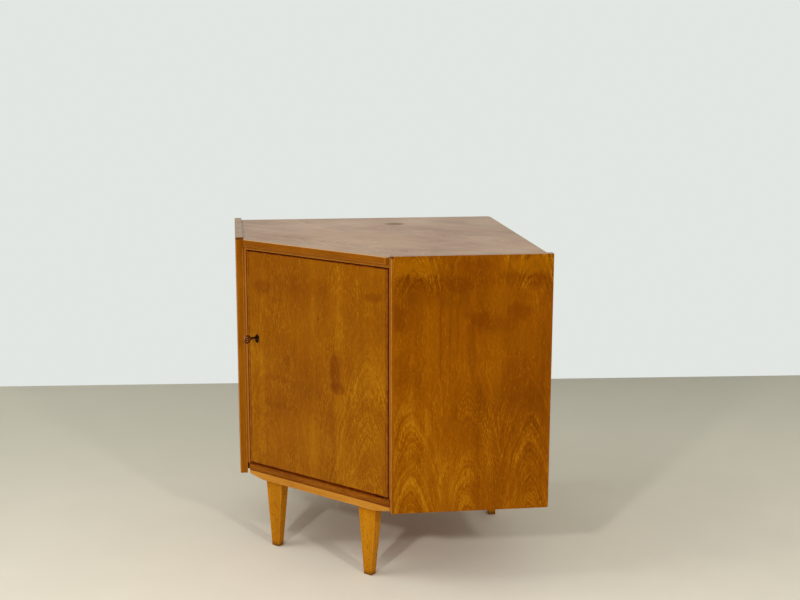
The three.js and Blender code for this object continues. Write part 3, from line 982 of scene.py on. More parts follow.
@dataclass(frozen=True)
class Wood:
    """A varnished wood.

    The glow is the colour that its varnish gives to what it mirrors, and the haze is how much dust
    lies all over. A top face gets a painted sheen, whose share and pale tone the wood gives: its
    colour is mixed towards that tone, and it gets a thin coat. The arris tone is real wear on most
    woods, and painted shade of the gaps round the door on the door's veneer, its strips and the
    bottom lipping. Face and head levels are how far below the top the top face and the darker band
    under it begin and are full. Foot levels are how high the darker band at the foot is full and
    ends.
    """

    name: str
    dark: Colour
    body: Colour
    light: Colour
    edge_wear_and_shade_tone: Colour = (190, 122, 44)
    stain: Colour = (116, 52, 2)
    pale: Colour = (172, 118, 30)
    glow: Colour = (255, 178, 40)
    dust: Colour = (196, 188, 172)
    top_sheen_tone: Colour = (182, 164, 138)
    streak: float = 0.5
    thread: float = 0.5
    fleck: float = 0.35
    pore: float = 0.25
    curl: float = 0.0
    nicks: float = 0.0
    cloud: float = 0.3
    edge_wear_and_shade: float = 0.5
    arris_width: float = 0.003
    haze: float = 0.0
    darkened_head: float = 0.0
    darkened_foot: float = 0.0
    face_levels: tuple[float, float] = (0.0007, 0.0001)
    head_levels: tuple[float, float] = (0.0052, 0.0042)
    foot_levels: tuple[float, float] = (0.006, 0.022)
    top_sheen: float = 0.0
    crest_coat: float = 0.17
    specular: float = 0.4
    roughness: float = 0.42
    smudge_rough: float = 0.12
    speck_rough: float = 0.2
    edge_wear_and_shade_rough: float = 0.1
    bump: float = 0.25
    bump_depth: float = 0.0002
    coat: float = 0.0
    coat_roughness: float = 0.3
    seed: float = 0.0

    def ramp(self, w: Wiring, level: Socket) -> Socket:
        """The wood's colour at a level from 0, dark, to 1, light.

        Args:
            w: the material's wiring.
            level: the level.

        Returns:
            The colour.
        """
        node = w.node("ShaderNodeValToRGB", {0: level})
        stops = node.color_ramp.elements
        stops[0].position = 0.1
        stops[0].color = tone(self.dark)
        stops[1].position = 0.9
        stops[1].color = tone(self.light)
        stops.new(0.5).color = tone(self.body)
        return node.outputs[0]

    def stained(
        self, w: Wiring, across: Socket, down: Socket, stains: tuple[Stain, ...], colour: Socket
    ) -> tuple[Socket, object]:
        """Stains laid on a colour.

        Args:
            w: the material's wiring.
            across: how far the place lies across the face.
            down: how far it lies down the face.
            stains: the stains.
            colour: the colour under them.

        Returns:
            The stained colour, and how strongly a place is stained.
        """
        whole: object = 0.0
        for stain in stains:
            inputs = {
                "Across": across,
                "Down": down,
                "Centre across": stain.across,
                "Centre down": stain.down,
                "Half width": stain.half_width,
                "Half height": stain.half_height,
                "Roughen": stain.roughen,
            }
            share = w.times(w.group(EFFECTS.patch, inputs).outputs[0], stain.strength)
            colour = w.mix(share, colour, tone(self.pale if stain.pale else self.stain))
            whole = w.math("MAXIMUM", whole, share)
        return colour, whole

    def grown(
        self, w: Wiring, place: Socket, grain: Grain, film: object, figure: Figure | None
    ) -> tuple[Socket, object, object]:
        """The wood under its wear: its streaks, figure, stains, flecks, pores and nicks.

        Args:
            w: the material's wiring.
            place: the place that is coloured.
            grain: which way the fibres run.
            film: the outputs of the surface film.
            figure: the flame figure, if the face has one.

        Returns:
            The colour, how strongly the place is stained, and the outputs of the grain.
        """
        turned = w.join(*(w.along(place, axis) for axis in grain.value))
        fibre = w.group(EFFECTS.fibre, {"Place": turned, "Seed": self.seed}).outputs
        level = w.add(
            0.5,
            w.times(w.off_half(fibre["Streak"]), self.streak),
            w.times(w.off_half(fibre["Thread"]), self.thread),
            w.times(w.off_half(film["Cloud"]), self.cloud * 2),
            w.times(fibre["Curl"], self.curl),
        )
        stain: object = 0.0
        if figure is None:
            colour = self.ramp(w, level)
        else:
            across, down = figure.place(w, place)
            colour = self.ramp(w, w.add(level, figure.level(w, across, down)))
            colour, stain = self.stained(w, across, down, figure.stains, colour)
        colour = w.mix(w.times(fibre["Fleck"], self.fleck), colour, tone(self.light))
        colour = w.mix(w.times(fibre["Pore"], self.pore), colour, tone(self.dark))
        if self.nicks > 0:
            colour = w.mix(w.times(film["Speck"], self.nicks), colour, tone(self.stain))
        return colour, stain, fibre

    def edge_wear_and_shade_mask(self, w: Wiring, place: Socket, box: tuple[Point, Point] | None) -> Socket:
        """Where the arris tone lies, real wear on most woods and painted shade of the gaps on some,
        from the piece's own mark or from a box round it.

        Args:
            w: the material's wiring.
            place: the place that is coloured.
            box: the box's lowest and highest corner, or None for the piece's own mark.

        Returns:
            How strongly the arris tone lies on the place, from 0 to 1.
        """
        if box is None:
            arris = w.node("ShaderNodeAttribute", attribute_name="arris").outputs["Fac"]
        else:
            edges = {"Place": place, "Low": box[0], "High": box[1], "Width": self.arris_width}
            arris = w.group(EFFECTS.box_edge, edges).outputs[0]
        return w.group(EFFECTS.edge_wear_and_shade_mask, {"Arris": arris, "Place": place}).outputs[0]

    def dusted_and_darkened(
        self, w: Wiring, colour: Socket, height: Socket, top: float, film: object, fibre: object
    ) -> Socket:
        """Dust all over, and darker bands below the upper end and at the foot, laid on a colour.

        Args:
            w: the material's wiring.
            colour: the colour under them.
            height: how high the place lies.
            top: the height of the top face.
            film: the outputs of the surface film.
            fibre: the outputs of the grain.

        Returns:
            The soiled colour.
        """
        if self.haze > 0:
            dusty = w.add(w.times(film["Smudge"], 0.7), w.times(film["Speck"], 0.6), 0.3)
            share = w.math("MINIMUM", w.times(dusty, self.haze), 1.0)
            colour = w.mix(share, colour, tone(self.dust))
        if self.darkened_head > 0:
            uneven = w.add(height, w.times(fibre["Streak"], 0.002))
            start, full = (top - level for level in self.head_levels)
            head = w.smooth(uneven, start, full, 0.0, self.darkened_head)
            below = w.minus(1.0, self.top_face(w, height, top))
            colour = w.mix(w.times(head, below), colour, tone(self.stain))
        if self.darkened_foot > 0:
            uneven = w.add(height, w.times(fibre["Streak"], 0.012))
            foot = w.smooth(uneven, *self.foot_levels, self.darkened_foot, 0.0)
            colour = w.mix(foot, colour, tone(self.stain))
        return colour

    def top_face(self, w: Wiring, height: Socket, top: float) -> Socket:
        """1 on a top face and 0 below its arris."""
        return w.smooth(height, *(top - level for level in self.face_levels))

    def material(
        self,
        suffix: str,
        grain: Grain,
        figure: Figure | None = None,
        box: tuple[Point, Point] | None = None,
        marked: bool = False,
        top: float = PLAN.height,
    ) -> bpy.types.Material:
        """The finish as a material.

        Args:
            suffix: added to the wood's name.
            grain: which way the fibres run.
            figure: the flame figure, if the face has one.
            box: the lowest and highest corner of an upright box whose arrises are worn.
            marked: whether the piece carries its own arris mark.
            top: the height of the top face that gets the painted sheen and its coat.

        Returns:
            The material.
        """
        material, w, shader = new_material(f"{self.name}_{suffix}")
        place = w.node("ShaderNodeTexCoord").outputs["Object"]
        height = w.along(place, (0.0, 0.0, 1.0))
        film = w.group(EFFECTS.film, {"Place": place}).outputs
        colour, stain, fibre = self.grown(w, place, grain, film, figure)
        edge_wear_and_shade: object = 0.0
        if marked or box is not None:
            edge_wear_and_shade = self.edge_wear_and_shade_mask(w, place, None if marked else box)
            # Along the arrises lies the arris tone: real wear on most woods, and painted shade of the
            # gaps round the door on the door's veneer, its strips and the bottom lipping.
            colour = w.mix(w.times(edge_wear_and_shade, self.edge_wear_and_shade), colour, tone(self.edge_wear_and_shade_tone))
        colour = self.dusted_and_darkened(w, colour, height, top, film, fibre)
        coat: Socket | None = None
        # Painted sheen: a top face's colour is mixed towards a pale sheen tone, and the face gets a
        # thin coat.
        if self.top_sheen > 0:
            top_sheen = self.top_face(w, height, top)
            colour = w.mix(w.times(top_sheen, self.top_sheen), colour, tone(self.top_sheen_tone))
            coat = w.times(top_sheen, self.crest_coat)
        elif self.coat > 0:
            cloudy = w.times(w.off_half(film["Cloud"]), 1.2)
            patchy = w.add(0.6, w.times(film["Smudge"], 0.45), cloudy)
            coat = w.math("MAXIMUM", w.times(patchy, w.minus(1.0, stain), self.coat), 0.0)
        if coat is not None:
            w.feed(shader.inputs["Coat Weight"], coat)
            shader.inputs["Coat Roughness"].default_value = self.coat_roughness
        w.feed(shader.inputs["Base Color"], colour)
        rough = w.add(
            self.roughness,
            w.times(film["Smudge"], self.smudge_rough),
            w.times(edge_wear_and_shade, self.edge_wear_and_shade_rough),
            w.times(film["Speck"], self.speck_rough),
        )
        w.feed(shader.inputs["Roughness"], rough)
        relief = w.add(w.times(fibre["Thread"], 0.6), w.times(fibre["Pore"], -0.5))
        settings = {"Strength": self.bump, "Distance": self.bump_depth, "Height": relief}
        bump = w.node("ShaderNodeBump", settings)
        w.feed(shader.inputs["Normal"], bump.outputs[0])
        shader.inputs["Specular Tint"].default_value = tone(self.glow)
        shader.inputs["Specular IOR Level"].default_value = self.specular
        return material


@dataclass(frozen=True)
class Metal:
    """A metal with a dull skin."""

    name: str
    body: Colour
    tarnish: Colour
    metallic: float = 1.0
    roughness: float = 0.38

    def material(self) -> bpy.types.Material:
        """The finish as a material: tarnish in patches, and fine scratches.

        Returns:
            The material.
        """
        material, w, shader = new_material(self.name)
        place = w.node("ShaderNodeTexCoord").outputs["Object"]
        film = w.group(EFFECTS.film, {"Place": w.stretch(place, (6.0, 6.0, 6.0))}).outputs
        scratch = w.noise(place, (2400, 2400, 300))
        share = w.smooth(w.add(film["Cloud"], w.times(film["Smudge"], 0.25)), 0.42, 0.72)
        w.feed(shader.inputs["Base Color"], w.mix(share, tone(self.body), tone(self.tarnish)))
        rough = w.add(self.roughness, w.times(share, 0.2), w.times(scratch, 0.08))
        w.feed(shader.inputs["Roughness"], rough)
        bump = w.node("ShaderNodeBump", {"Strength": 0.2, "Distance": 0.0001, "Height": scratch})
        w.feed(shader.inputs["Normal"], bump.outputs[0])
        shader.inputs["Metallic"].default_value = self.metallic
        return material


# Its top-face tone is a greyish painted sheen on the top faces of the side panels.
VENEER = Wood(
    "veneer", dark=(88, 38, 0), body=(134, 70, 1), light=(172, 110, 12), edge_wear_and_shade_tone=(176, 114, 44),
    stain=(104, 44, 0), pale=(162, 98, 2), streak=0.45, thread=0.4, fleck=0.4, curl=0.14,
    top_sheen=0.5, top_sheen_tone=(174, 152, 122),
)
# Its dark red arris tone is painted shade of the gaps above and below the door, along the top and foot
# arrises.
DOOR_VENEER = Wood(
    "door_veneer", dark=(100, 46, 0), body=(141, 79, 0), light=(180, 120, 10), edge_wear_and_shade_tone=(108, 26, 0),
    stain=(112, 50, 0), glow=(255, 178, 10), streak=0.35, thread=0.32, fleck=0.38, curl=0.21,
    edge_wear_and_shade=1.0, arris_width=0.005, specular=0.25, seed=31.0,
)
TOP = Wood(
    "top_veneer", dark=(104, 60, 24), body=(154, 102, 52), light=(192, 142, 86), edge_wear_and_shade_tone=(170, 108, 50),
    stain=(112, 72, 0), pale=(206, 166, 128), glow=(255, 222, 184), dust=(190, 160, 122),
    streak=0.7, thread=0.6, haze=0.2, specular=0.08, roughness=0.34, coat=0.60, seed=5.0,
)
# Its top-face tone is a greyish painted sheen on the upper ends of the side lippings.
EDGE = Wood(
    "edge_wood", dark=(100, 46, 1), body=(138, 76, 4), light=(176, 114, 26), edge_wear_and_shade_tone=(192, 128, 60),
    stain=(84, 48, 14), edge_wear_and_shade=0.7, darkened_head=0.95, top_sheen=0.3, specular=0.3, roughness=0.55, seed=9.0,
)
# Its dark red arris tone is painted shade of the gaps beside the door.
DOOR_EDGE = Wood(
    "door_edge", dark=(110, 56, 4), body=(150, 88, 22), light=(182, 122, 50), edge_wear_and_shade_tone=(108, 26, 0),
    edge_wear_and_shade=1.0, arris_width=0.0045, specular=0.3, roughness=0.5, seed=10.0,
)
# Its top-face tone is a cream painted highlight along the top of the strip.
TOP_EDGE = Wood(
    "top_edge", dark=(100, 48, 1), body=(138, 76, 4), light=(168, 106, 20), edge_wear_and_shade_tone=(180, 116, 50),
    edge_wear_and_shade=0.4, top_sheen=0.7, top_sheen_tone=(226, 194, 144), specular=0.3, roughness=0.55, seed=11.0,
)
# Its dark red arris tone is painted shade of the gap under the door and of the line above the apron.
DARK_EDGE = Wood(
    "bottom_edge", dark=(80, 34, 1), body=(124, 64, 4), light=(156, 92, 14), edge_wear_and_shade_tone=(104, 26, 0),
    streak=1.1, thread=1.5, fleck=0.6, pore=0.6, edge_wear_and_shade=1.0, arris_width=0.0045, specular=0.3,
    roughness=0.55, seed=13.0,
)
# Lighter than the other strips in painted highlight: the beads' colours stand in for the light that
# their rounded fronts catch.
BEAD_HIGHLIT = Wood(
    "bead_wood_highlit", dark=(126, 66, 4), body=(162, 96, 20), light=(190, 124, 46), edge_wear_and_shade_tone=(200, 134, 66),
    edge_wear_and_shade=0.6, specular=0.3, roughness=0.5, seed=15.0,
)
PALE = Wood(
    "pale_wood", dark=(156, 90, 18), body=(194, 130, 42), light=(222, 168, 88), streak=0.8,
    edge_wear_and_shade=0.35, specular=0.3, seed=17.0,
)
LEG = Wood(
    "leg_wood", dark=(120, 64, 4), body=(186, 118, 8), light=(206, 140, 22), edge_wear_and_shade_tone=(200, 138, 44),
    stain=(92, 48, 6), streak=0.4, thread=0.2, fleck=0.1, pore=0.85, nicks=0.9, cloud=0.25,
    edge_wear_and_shade=0.3, darkened_foot=0.8, specular=0.2, seed=21.0,
)
PLY = Wood(
    "plywood", dark=(146, 112, 72), body=(176, 144, 100), light=(200, 172, 130),
    glow=(255, 255, 255), edge_wear_and_shade=0.2, roughness=0.75, seed=25.0,
)
BRASS = Metal("brass", (168, 132, 66), (112, 82, 42))
STEEL = Metal("steel", (150, 148, 144), (104, 98, 92))
IRON = Metal("dark_iron", (14, 12, 10), (9, 7, 6), metallic=0.9, roughness=0.45)
BRONZE = Metal("key_bronze", (134, 90, 62), (38, 22, 10), roughness=0.34)


# The cupboard


@dataclass
class Carcass:
    """Side panels, top and bottom boards, their lippings, the back and the corner post."""

    lipping: float = 0.007
    panel_ease: float = 0.0008
    strip_ease: float = 0.0012
    bottom_ease: float = 0.0009
    hairline: float = 0.00002
    top_setback: float = 0.005
    top_upper: float = 0.7755
    top_lower: float = 0.759
    figure_reach: float = 0.3965
    right_stains: tuple[Stain, ...] = (
        Stain(0.054, 0.060, 0.022, 0.020, 0.65, 1.4),
        Stain(0.104, 0.070, 0.026, 0.014, 0.2, 1.4),
        Stain(0.154, 0.064, 0.034, 0.022, 0.65, 1.4),
        Stain(0.195, 0.030, 0.040, 0.026, 0.5),
        Stain(0.215, 0.060, 0.034, 0.018, 0.35, 1.4),
        Stain(0.276, 0.050, 0.030, 0.020, 0.25, 1.4),
        Stain(0.328, 0.054, 0.022, 0.024, 0.6, 1.4),
        Stain(0.018, 0.142, 0.018, 0.036, 0.6, 1.4),
        Stain(0.199, 0.146, 0.026, 0.018, 0.65, 1.4),
        Stain(0.294, 0.132, 0.034, 0.022, 0.6, 1.4),
        Stain(0.240, 0.160, 0.060, 0.018, 0.35, 1.4),
        Stain(0.185, 0.220, 0.012, 0.070, 0.5),
        Stain(0.113, 0.190, 0.003, 0.110, 0.5, 0.5),
        Stain(0.134, 0.215, 0.002, 0.110, 0.4, 0.5),
        Stain(0.152, 0.170, 0.002, 0.080, 0.4, 0.5),
        Stain(0.310, 0.300, 0.060, 0.070, 0.3),
        Stain(0.060, 0.026, 0.060, 0.024, 0.45, 1.6, pale=True),
        Stain(0.320, 0.024, 0.060, 0.022, 0.45, 1.6, pale=True),
        Stain(0.095, 0.200, 0.016, 0.100, 0.16, pale=True),
        Stain(0.245, 0.100, 0.030, 0.040, 0.14, pale=True),
        Stain(0.243, 0.250, 0.014, 0.090, 0.16, pale=True),
    )
    left_stains: tuple[Stain, ...] = (
        Stain(0.110, 0.050, 0.040, 0.020, 0.45),
        Stain(0.236, 0.074, 0.030, 0.030, 0.5),
        Stain(0.330, 0.120, 0.024, 0.040, 0.4),
        Stain(0.070, 0.210, 0.020, 0.050, 0.35),
        Stain(0.180, 0.260, 0.010, 0.090, 0.4, 0.5),
        Stain(0.150, 0.180, 0.002, 0.100, 0.4, 0.5),
        Stain(0.290, 0.040, 0.060, 0.024, 0.3, pale=True),
        Stain(0.040, 0.120, 0.030, 0.060, 0.16, pale=True),
    )

    def build(self) -> list[bpy.types.Object]:
        """Makes the carcass's own pieces and dresses the CAD nodes that stay.

        Returns:
            The new pieces.
        """
        made = self.side_panels() + [self.top_lipping(), self.bottom_lipping()]
        self.dress_boards()
        return made

    def side_outline(self, hand: int, near: float, far: float) -> np.ndarray:
        """The plan of a strip of a side panel between two distances from its wall.

        Args:
            hand: 1 for the right side and -1 for the left one.
            near: the distance at which the strip begins.
            far: the distance at which it ends.

        Returns:
            The corners, counter-clockwise, one row each.
        """
        corners = [(PLAN.inner, far), (PLAN.wall, far), (PLAN.wall, near), (PLAN.inner, near)]
        outline = np.array([PLAN.at_wall(hand, along, out) for along, out in corners])
        return outline if hand > 0 else outline[::-1]

    @staticmethod
    def joint_corners(hand: int, far: bool) -> tuple[int, ...]:
        """The corners at the far or near end of a strip's plan, where it is glued to the next."""
        return (0, 1) if far == (hand > 0) else (2, 3)

    def side_figure(self, hand: int) -> Figure:
        """The figure of a side panel: three leaves with arches at the foot and at the head.

        Args:
            hand: 1 for the right side and -1 for the left one.

        Returns:
            The figure.
        """
        front = np.array(PLAN.at_wall(hand, PLAN.wall, PLAN.side))
        axis = (hand * HALF, HALF, 0.0)
        return Figure(
            across_axis=axis,
            across_start=float(front @ np.array(axis[:2])),
            down_start=-PLAN.height,
            seams=(0.117, 0.253),
            centres=(0.050, 0.179, 0.325),
            shades=(-0.12, -0.13, -0.15),
            heads=(1.9, 0.5, 1.9),
            seeds=(3.0, 15.0, 27.0) if hand > 0 else (40.0, 52.0, 64.0),
            head_depth=0.11,
            fade_from=0.27,
            fade_to=0.40,
            drift=(0.0, 0.28),
            stains=self.right_stains if hand > 0 else self.left_stains,
        )

    def side_panels(self) -> list[bpy.types.Object]:
        """The two side panels and the lippings on their front edges.

        Returns:
            The new pieces.
        """
        made = []
        low = PLAN.height - PLAN.side_height
        joint = PLAN.side - self.lipping
        for label, hand in (("left", -1), ("right", 1)):
            board = rounded_prism(
                self.side_outline(hand, 0.0, joint - self.hairline), low, PLAN.height,
                self.panel_ease, joints=self.joint_corners(hand, True),
            )
            panel = add_piece(f"side_panel_{label}", Body.CARCASS, board)
            figure = self.side_figure(hand)
            dress(panel, VENEER.material(f"side_{label}", Grain.UPRIGHT, figure, marked=True))
            edge = rounded_prism(
                self.side_outline(hand, joint, PLAN.side), low, PLAN.height,
                self.strip_ease, joints=self.joint_corners(hand, False),
            )
            strip = add_piece(f"side_lipping_{label}", Body.CARCASS, edge)
            dress(strip, EDGE.material(f"side_{label}", Grain.UPRIGHT, marked=True))
            made += [panel, strip]
        return made

    def top_lipping(self) -> bpy.types.Object:
        """The strip along the front of the top board, its ends in line with the panels' faces.

        Returns:
            The strip.
        """
        gap = PLAN.seat_gap * math.sqrt(2)
        back = self.top_setback + self.lipping
        front_x = PLAN.inner_half(self.top_setback) - gap
        back_x = PLAN.inner_half(back) - gap
        front_y = PLAN.front_y(self.top_setback)
        back_y = PLAN.front_y(back)
        outline = np.array([
            (-front_x, front_y),
            (front_x, front_y),
            (back_x, back_y),
            (-back_x, back_y),
        ])
        edge = rounded_prism(outline, self.top_lower, self.top_upper, self.strip_ease, joints=(2, 3))
        strip = add_piece("top_board_lipping", Body.CARCASS, edge)
        dress(strip, TOP_EDGE.material("front", Grain.ACROSS, marked=True, top=self.top_upper))
        return strip

    def bottom_lipping(self) -> bpy.types.Object:
        """The strip along the front of the bottom board.

        Returns:
            The strip.
        """
        name = "bottom_board_lipping"
        strip = eased_copy(name, Body.CARCASS, self.bottom_ease)
        dress(strip, DARK_EDGE.material("front", Grain.ACROSS, box=node_box(name)))
        return strip

    def dress_boards(self) -> None:
        """Finishes for the boards, the back and the post, whose CAD shapes stay."""
        figure = Figure(
            across_axis=(0.0, 1.0, 0.0),
            across_start=PLAN.corner_y - self.figure_reach,
            down_axis=(1.0, 0.0, 0.0),
            down_start=-0.5,
            seams=(-0.12,),
            centres=(-0.24, 0.02),
            shades=(0.0, 0.03),
            strengths=(0.8,),
            seeds=(6.0, 10.0),
            lean=0.4,
            bow=16.0,
            pitch=0.045,
            fade_from=-1.0,
            fade_to=-0.9,
            stains=(
                Stain(0.170, 0.640, 0.130, 0.150, 0.2),
                Stain(0.290, 0.480, 0.090, 0.130, 0.18),
                Stain(0.020, 0.190, 0.070, 0.080, 0.2),
                Stain(-0.210, 0.700, 0.050, 0.080, 0.14),
                Stain(-0.240, 0.360, 0.040, 0.060, 0.1),
                Stain(-0.170, 0.490, 0.100, 0.200, 0.24, pale=True),
                Stain(0.280, 0.560, 0.060, 0.060, 0.2, pale=True),
                Stain(0.095, 0.393, 0.027, 0.027, 0.97, 0.12),
            ),
        )
        dress_nodes(TOP.material("figured", Grain.ACROSS, figure), "top_board")
        dress_nodes(VENEER.material("inner", Grain.ACROSS), "bottom_board", "shelf")
        dress_nodes(PLY.material("back", Grain.UPRIGHT), "back_panel_left", "back_panel_right")
        dress_nodes(PALE.material("post", Grain.UPRIGHT), "corner_post")


@dataclass
class DoorFrame:
    """The beads round the door, with the strike plate let into the one on the lock's side."""

    ease: float = 0.0016

    def build(self) -> list[bpy.types.Object]:
        """Makes the beads and dresses the strike and the door's pivots.

        Returns:
            The beads.
        """
        made = []
        for name in ("lock_stile", "hinge_stile", "top_rail"):
            grain = Grain.ACROSS if name == "top_rail" else Grain.UPRIGHT
            bead = eased_copy(name, Body.CARCASS, self.ease)
            dress(bead, BEAD_HIGHLIT.material(name, grain, box=node_box(name)))
            made.append(bead)
        dress_nodes(BRASS.material(), *nodes_starting("strike_", "pivot_"))
        return made


@dataclass
class Door:
    """The veneered door and the strips on its upright edges.

    The panel's sides lie under the strips, so only its top and foot get the dark red painted shade
    of the gaps above and below the door: the box for that mark reaches past its sides.
    """

    ease: float = 0.0014
    panel_ease: float = 0.0005
    past_sides: float = 0.01

    def figure(self) -> Figure:
        """The door's figure: a plain leaf, then one with long arches.

        Returns:
            The figure.
        """
        low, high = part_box("door_lipping_free")
        return Figure(
            across_axis=(1.0, 0.0, 0.0),
            across_start=low.x,
            down_start=-high.z,
            seams=(0.231,),
            centres=(0.060, 0.381),
            shades=(-0.04,),
            strengths=(0.4, 0.9),
            seeds=(12.0, 21.0),
            lean=1.2,
            bow=14.0,
            pitch=0.024,
            fade_from=0.14,
            fade_to=0.34,
            drift=(0.1, 0.06),
            stains=(
                Stain(0.281, 0.262, 0.017, 0.052, 0.75, 0.25),
                Stain(0.288, 0.300, 0.026, 0.016, 0.65, 0.4),
                Stain(0.258, 0.450, 0.028, 0.120, 0.4, 0.2),
                Stain(0.050, 0.084, 0.034, 0.020, 0.45),
                Stain(0.090, 0.060, 0.120, 0.060, 0.25),
                Stain(0.396, 0.070, 0.028, 0.012, 0.5),
                Stain(0.229, 0.143, 0.004, 0.008, 0.6, 0.1),
                Stain(0.245, 0.100, 0.020, 0.060, 0.3),
                Stain(0.130, 0.255, 0.006, 0.018, 0.4),
                Stain(0.100, 0.305, 0.050, 0.010, 0.3),
                Stain(0.100, 0.375, 0.060, 0.008, 0.25),
            ),
        )

    def build(self) -> list[bpy.types.Object]:
        """Makes the door's panel and strips.

        Returns:
            The new pieces.
        """
        panel = eased_copy("door_panel", Body.DOOR, self.panel_ease)
        low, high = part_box("door_panel")
        # The dark red tone along the panel's top and foot arrises is painted shade of the gaps.
        wide = ((low.x - self.past_sides, low.y, low.z), (high.x + self.past_sides, high.y, high.z))
        dress(panel, DOOR_VENEER.material("door", Grain.UPRIGHT, self.figure(), box=wide))
        made = [panel]
        for name in ("door_lipping_free", "door_lipping_hinge"):
            strip = eased_copy(name, Body.DOOR, self.ease)
            dress(strip, DOOR_EDGE.material(name, Grain.UPRIGHT, box=node_box(name)))
            made.append(strip)
        return made


@dataclass
class Stand:
    """The apron, the rear rails and the four tapered legs."""

    setback: float = 0.014
    end_gap: float = 0.0045
    apron_thickness: float = 0.010
    apron_depth: float = 0.0175
    apron_end_depth: float = 0.0085
    apron_taper: float = 0.050
    bend_share: float = 0.8
    curve_steps: int = 6
    apron_ease: float = 0.0012
    leg_width: float = 0.055
    leg_depth: float = 0.028
    foot_width: float = 0.023
    foot_depth: float = 0.018
    foot_rake: float = 0.002
    foot_ease: float = 0.0018
    leg_arris: float = 0.0016
    leg_fade: float = 0.003
    leg_steps: int = 4
    leg_levels: tuple[float, ...] = (0.006, 0.05, 0.10, 0.15)
    front_leg_inset: float = 0.0745
    rear_leg_along: float = 0.256
    rear_rail_inset: float = 0.018
    screw_stand: float = 0.00025

    def build(self) -> list[bpy.types.Object]:
        """Makes the stand and dresses its screws.

        Returns:
            The new pieces.
        """
        made = [self.apron()]
        wood = LEG.material("leg", Grain.UPRIGHT, marked=True)
        for label, hand in (("left", -1), ("right", 1)):
            for end in ("front", "rear"):
                piece = self.leg(f"leg_{end}_{label}", hand, end == "front")
                dress(piece, wood)
                made.append(piece)
        for label, grain in (("left", Grain.LEFT_WALL), ("right", Grain.RIGHT_WALL)):
            dress_nodes(PALE.material(f"rail_{label}", grain), f"rear_rail_{label}")
        screws = [name for name in nodes_starting("leg_") if "screw" in name]
        dress_nodes(STEEL.material(), *screws)
        return made

    def leg(self, node: str, hand: int, front: bool) -> bpy.types.Object:
        """A leg: a rounded oblong carried from the foot to the top while its sides grow evenly.

        At share s of the height the oblong is foot + (top - foot) * s wide and deep, and its outer
        face lies rake * (1 - s) in. The foot's edge is a quarter circle.

        Args:
            node: the CAD node that it stands for.
            hand: 1 for a right leg and -1 for a left one.
            front: whether it stands behind the apron instead of behind a rail.

        Returns:
            The leg.
        """
        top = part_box("front_apron")[1].z
        angle = np.linspace(0, math.pi / 2, self.leg_steps + 1)
        rise = self.foot_ease * (1 - np.cos(angle))
        inset = self.foot_ease * (1 - np.sin(angle))
        levels = np.concatenate(([0.0], rise, self.leg_levels, [top]))
        insets = np.concatenate(([2 * self.foot_ease], inset, np.zeros(len(self.leg_levels) + 1)))
        rings = []
        for share, inward in zip(levels / top, insets):
            half = (self.foot_width + (self.leg_width - self.foot_width) * share) / 2
            depth = self.foot_depth + (self.leg_depth - self.foot_depth) * share
            outer = self.foot_rake * (1 - share)
            inner = outer + depth - self.screw_stand
            oblong = np.array([(-half, outer), (half, outer), (half, inner), (-half, inner)])
            radius = np.full(4, self.leg_arris)
            rings.append(rounded_ring(oblong, inward, radius, self.leg_fade, self.leg_steps))
        corner = [0.0] + [1.0] * (self.leg_steps + 1) + [0.0]
        surface = loft(stacked(rings, levels), np.tile(corner * 4, (len(levels), 1)))
        if front:
            axes = np.eye(3)
            x = hand * (PLAN.inner_half(self.setback) - self.end_gap - self.front_leg_inset)
            y = PLAN.front_y(self.setback) + self.apron_thickness + PLAN.seat_gap
        else:
            axes = np.array([(hand * HALF, -HALF, 0.0), (-hand * HALF, -HALF, 0.0), (0.0, 0.0, 1.0)])
            out = self.rear_rail_inset + self.apron_thickness + PLAN.seat_gap
            x, y = PLAN.at_wall(hand, self.rear_leg_along, out)
        return add_piece(node, Body.CARCASS, surface.turned(axes, (x, y, 0.0)))

    def apron(self) -> bpy.types.Object:
        """The apron: its lower edge rises to both ends in a quadratic curve.

        Returns:
            The apron.
        """
        low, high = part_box("front_apron")
        half = PLAN.inner_half(self.setback) - self.end_gap
        top, foot = high.z, high.z - self.apron_depth
        guide = np.array([
            (half - self.apron_taper, foot),
            (half - self.apron_taper * self.bend_share, foot),
            (half, top - self.apron_end_depth),
        ])
        share = np.linspace(0, 1, self.curve_steps + 1)
        weight = np.column_stack(((1 - share) ** 2, 2 * share * (1 - share), share**2))
        curve = weight @ guide
        outline = np.concatenate((curve, [(half, top), (-half, top)], curve[::-1] * (-1, 1)))
        board = rounded_prism(outline, low.y, high.y, self.apron_ease, 2)
        board = board.turned([(1, 0, 0), (0, 0, 1), (0, 1, 0)], ((low.x + high.x) / 2, 0.0, 0.0))
        piece = add_piece("front_apron", Body.CARCASS, board)
        dress(piece, PALE.material("apron", Grain.ACROSS, marked=True))
        return piece


@dataclass
class Inside:
    """The shelf's battens and cleat."""

    def build(self) -> list[bpy.types.Object]:
        """Dresses the battens and the cleat, whose CAD shapes stay.

        Returns:
            No piece, because none of them is new.
        """
        for name, grain in (
            ("shelf_batten_left", Grain.LEFT_WALL),
            ("shelf_batten_right", Grain.RIGHT_WALL),
            ("shelf_cleat", Grain.ACROSS),
        ):
            dress_nodes(PALE.material(name, grain), name)
        return []


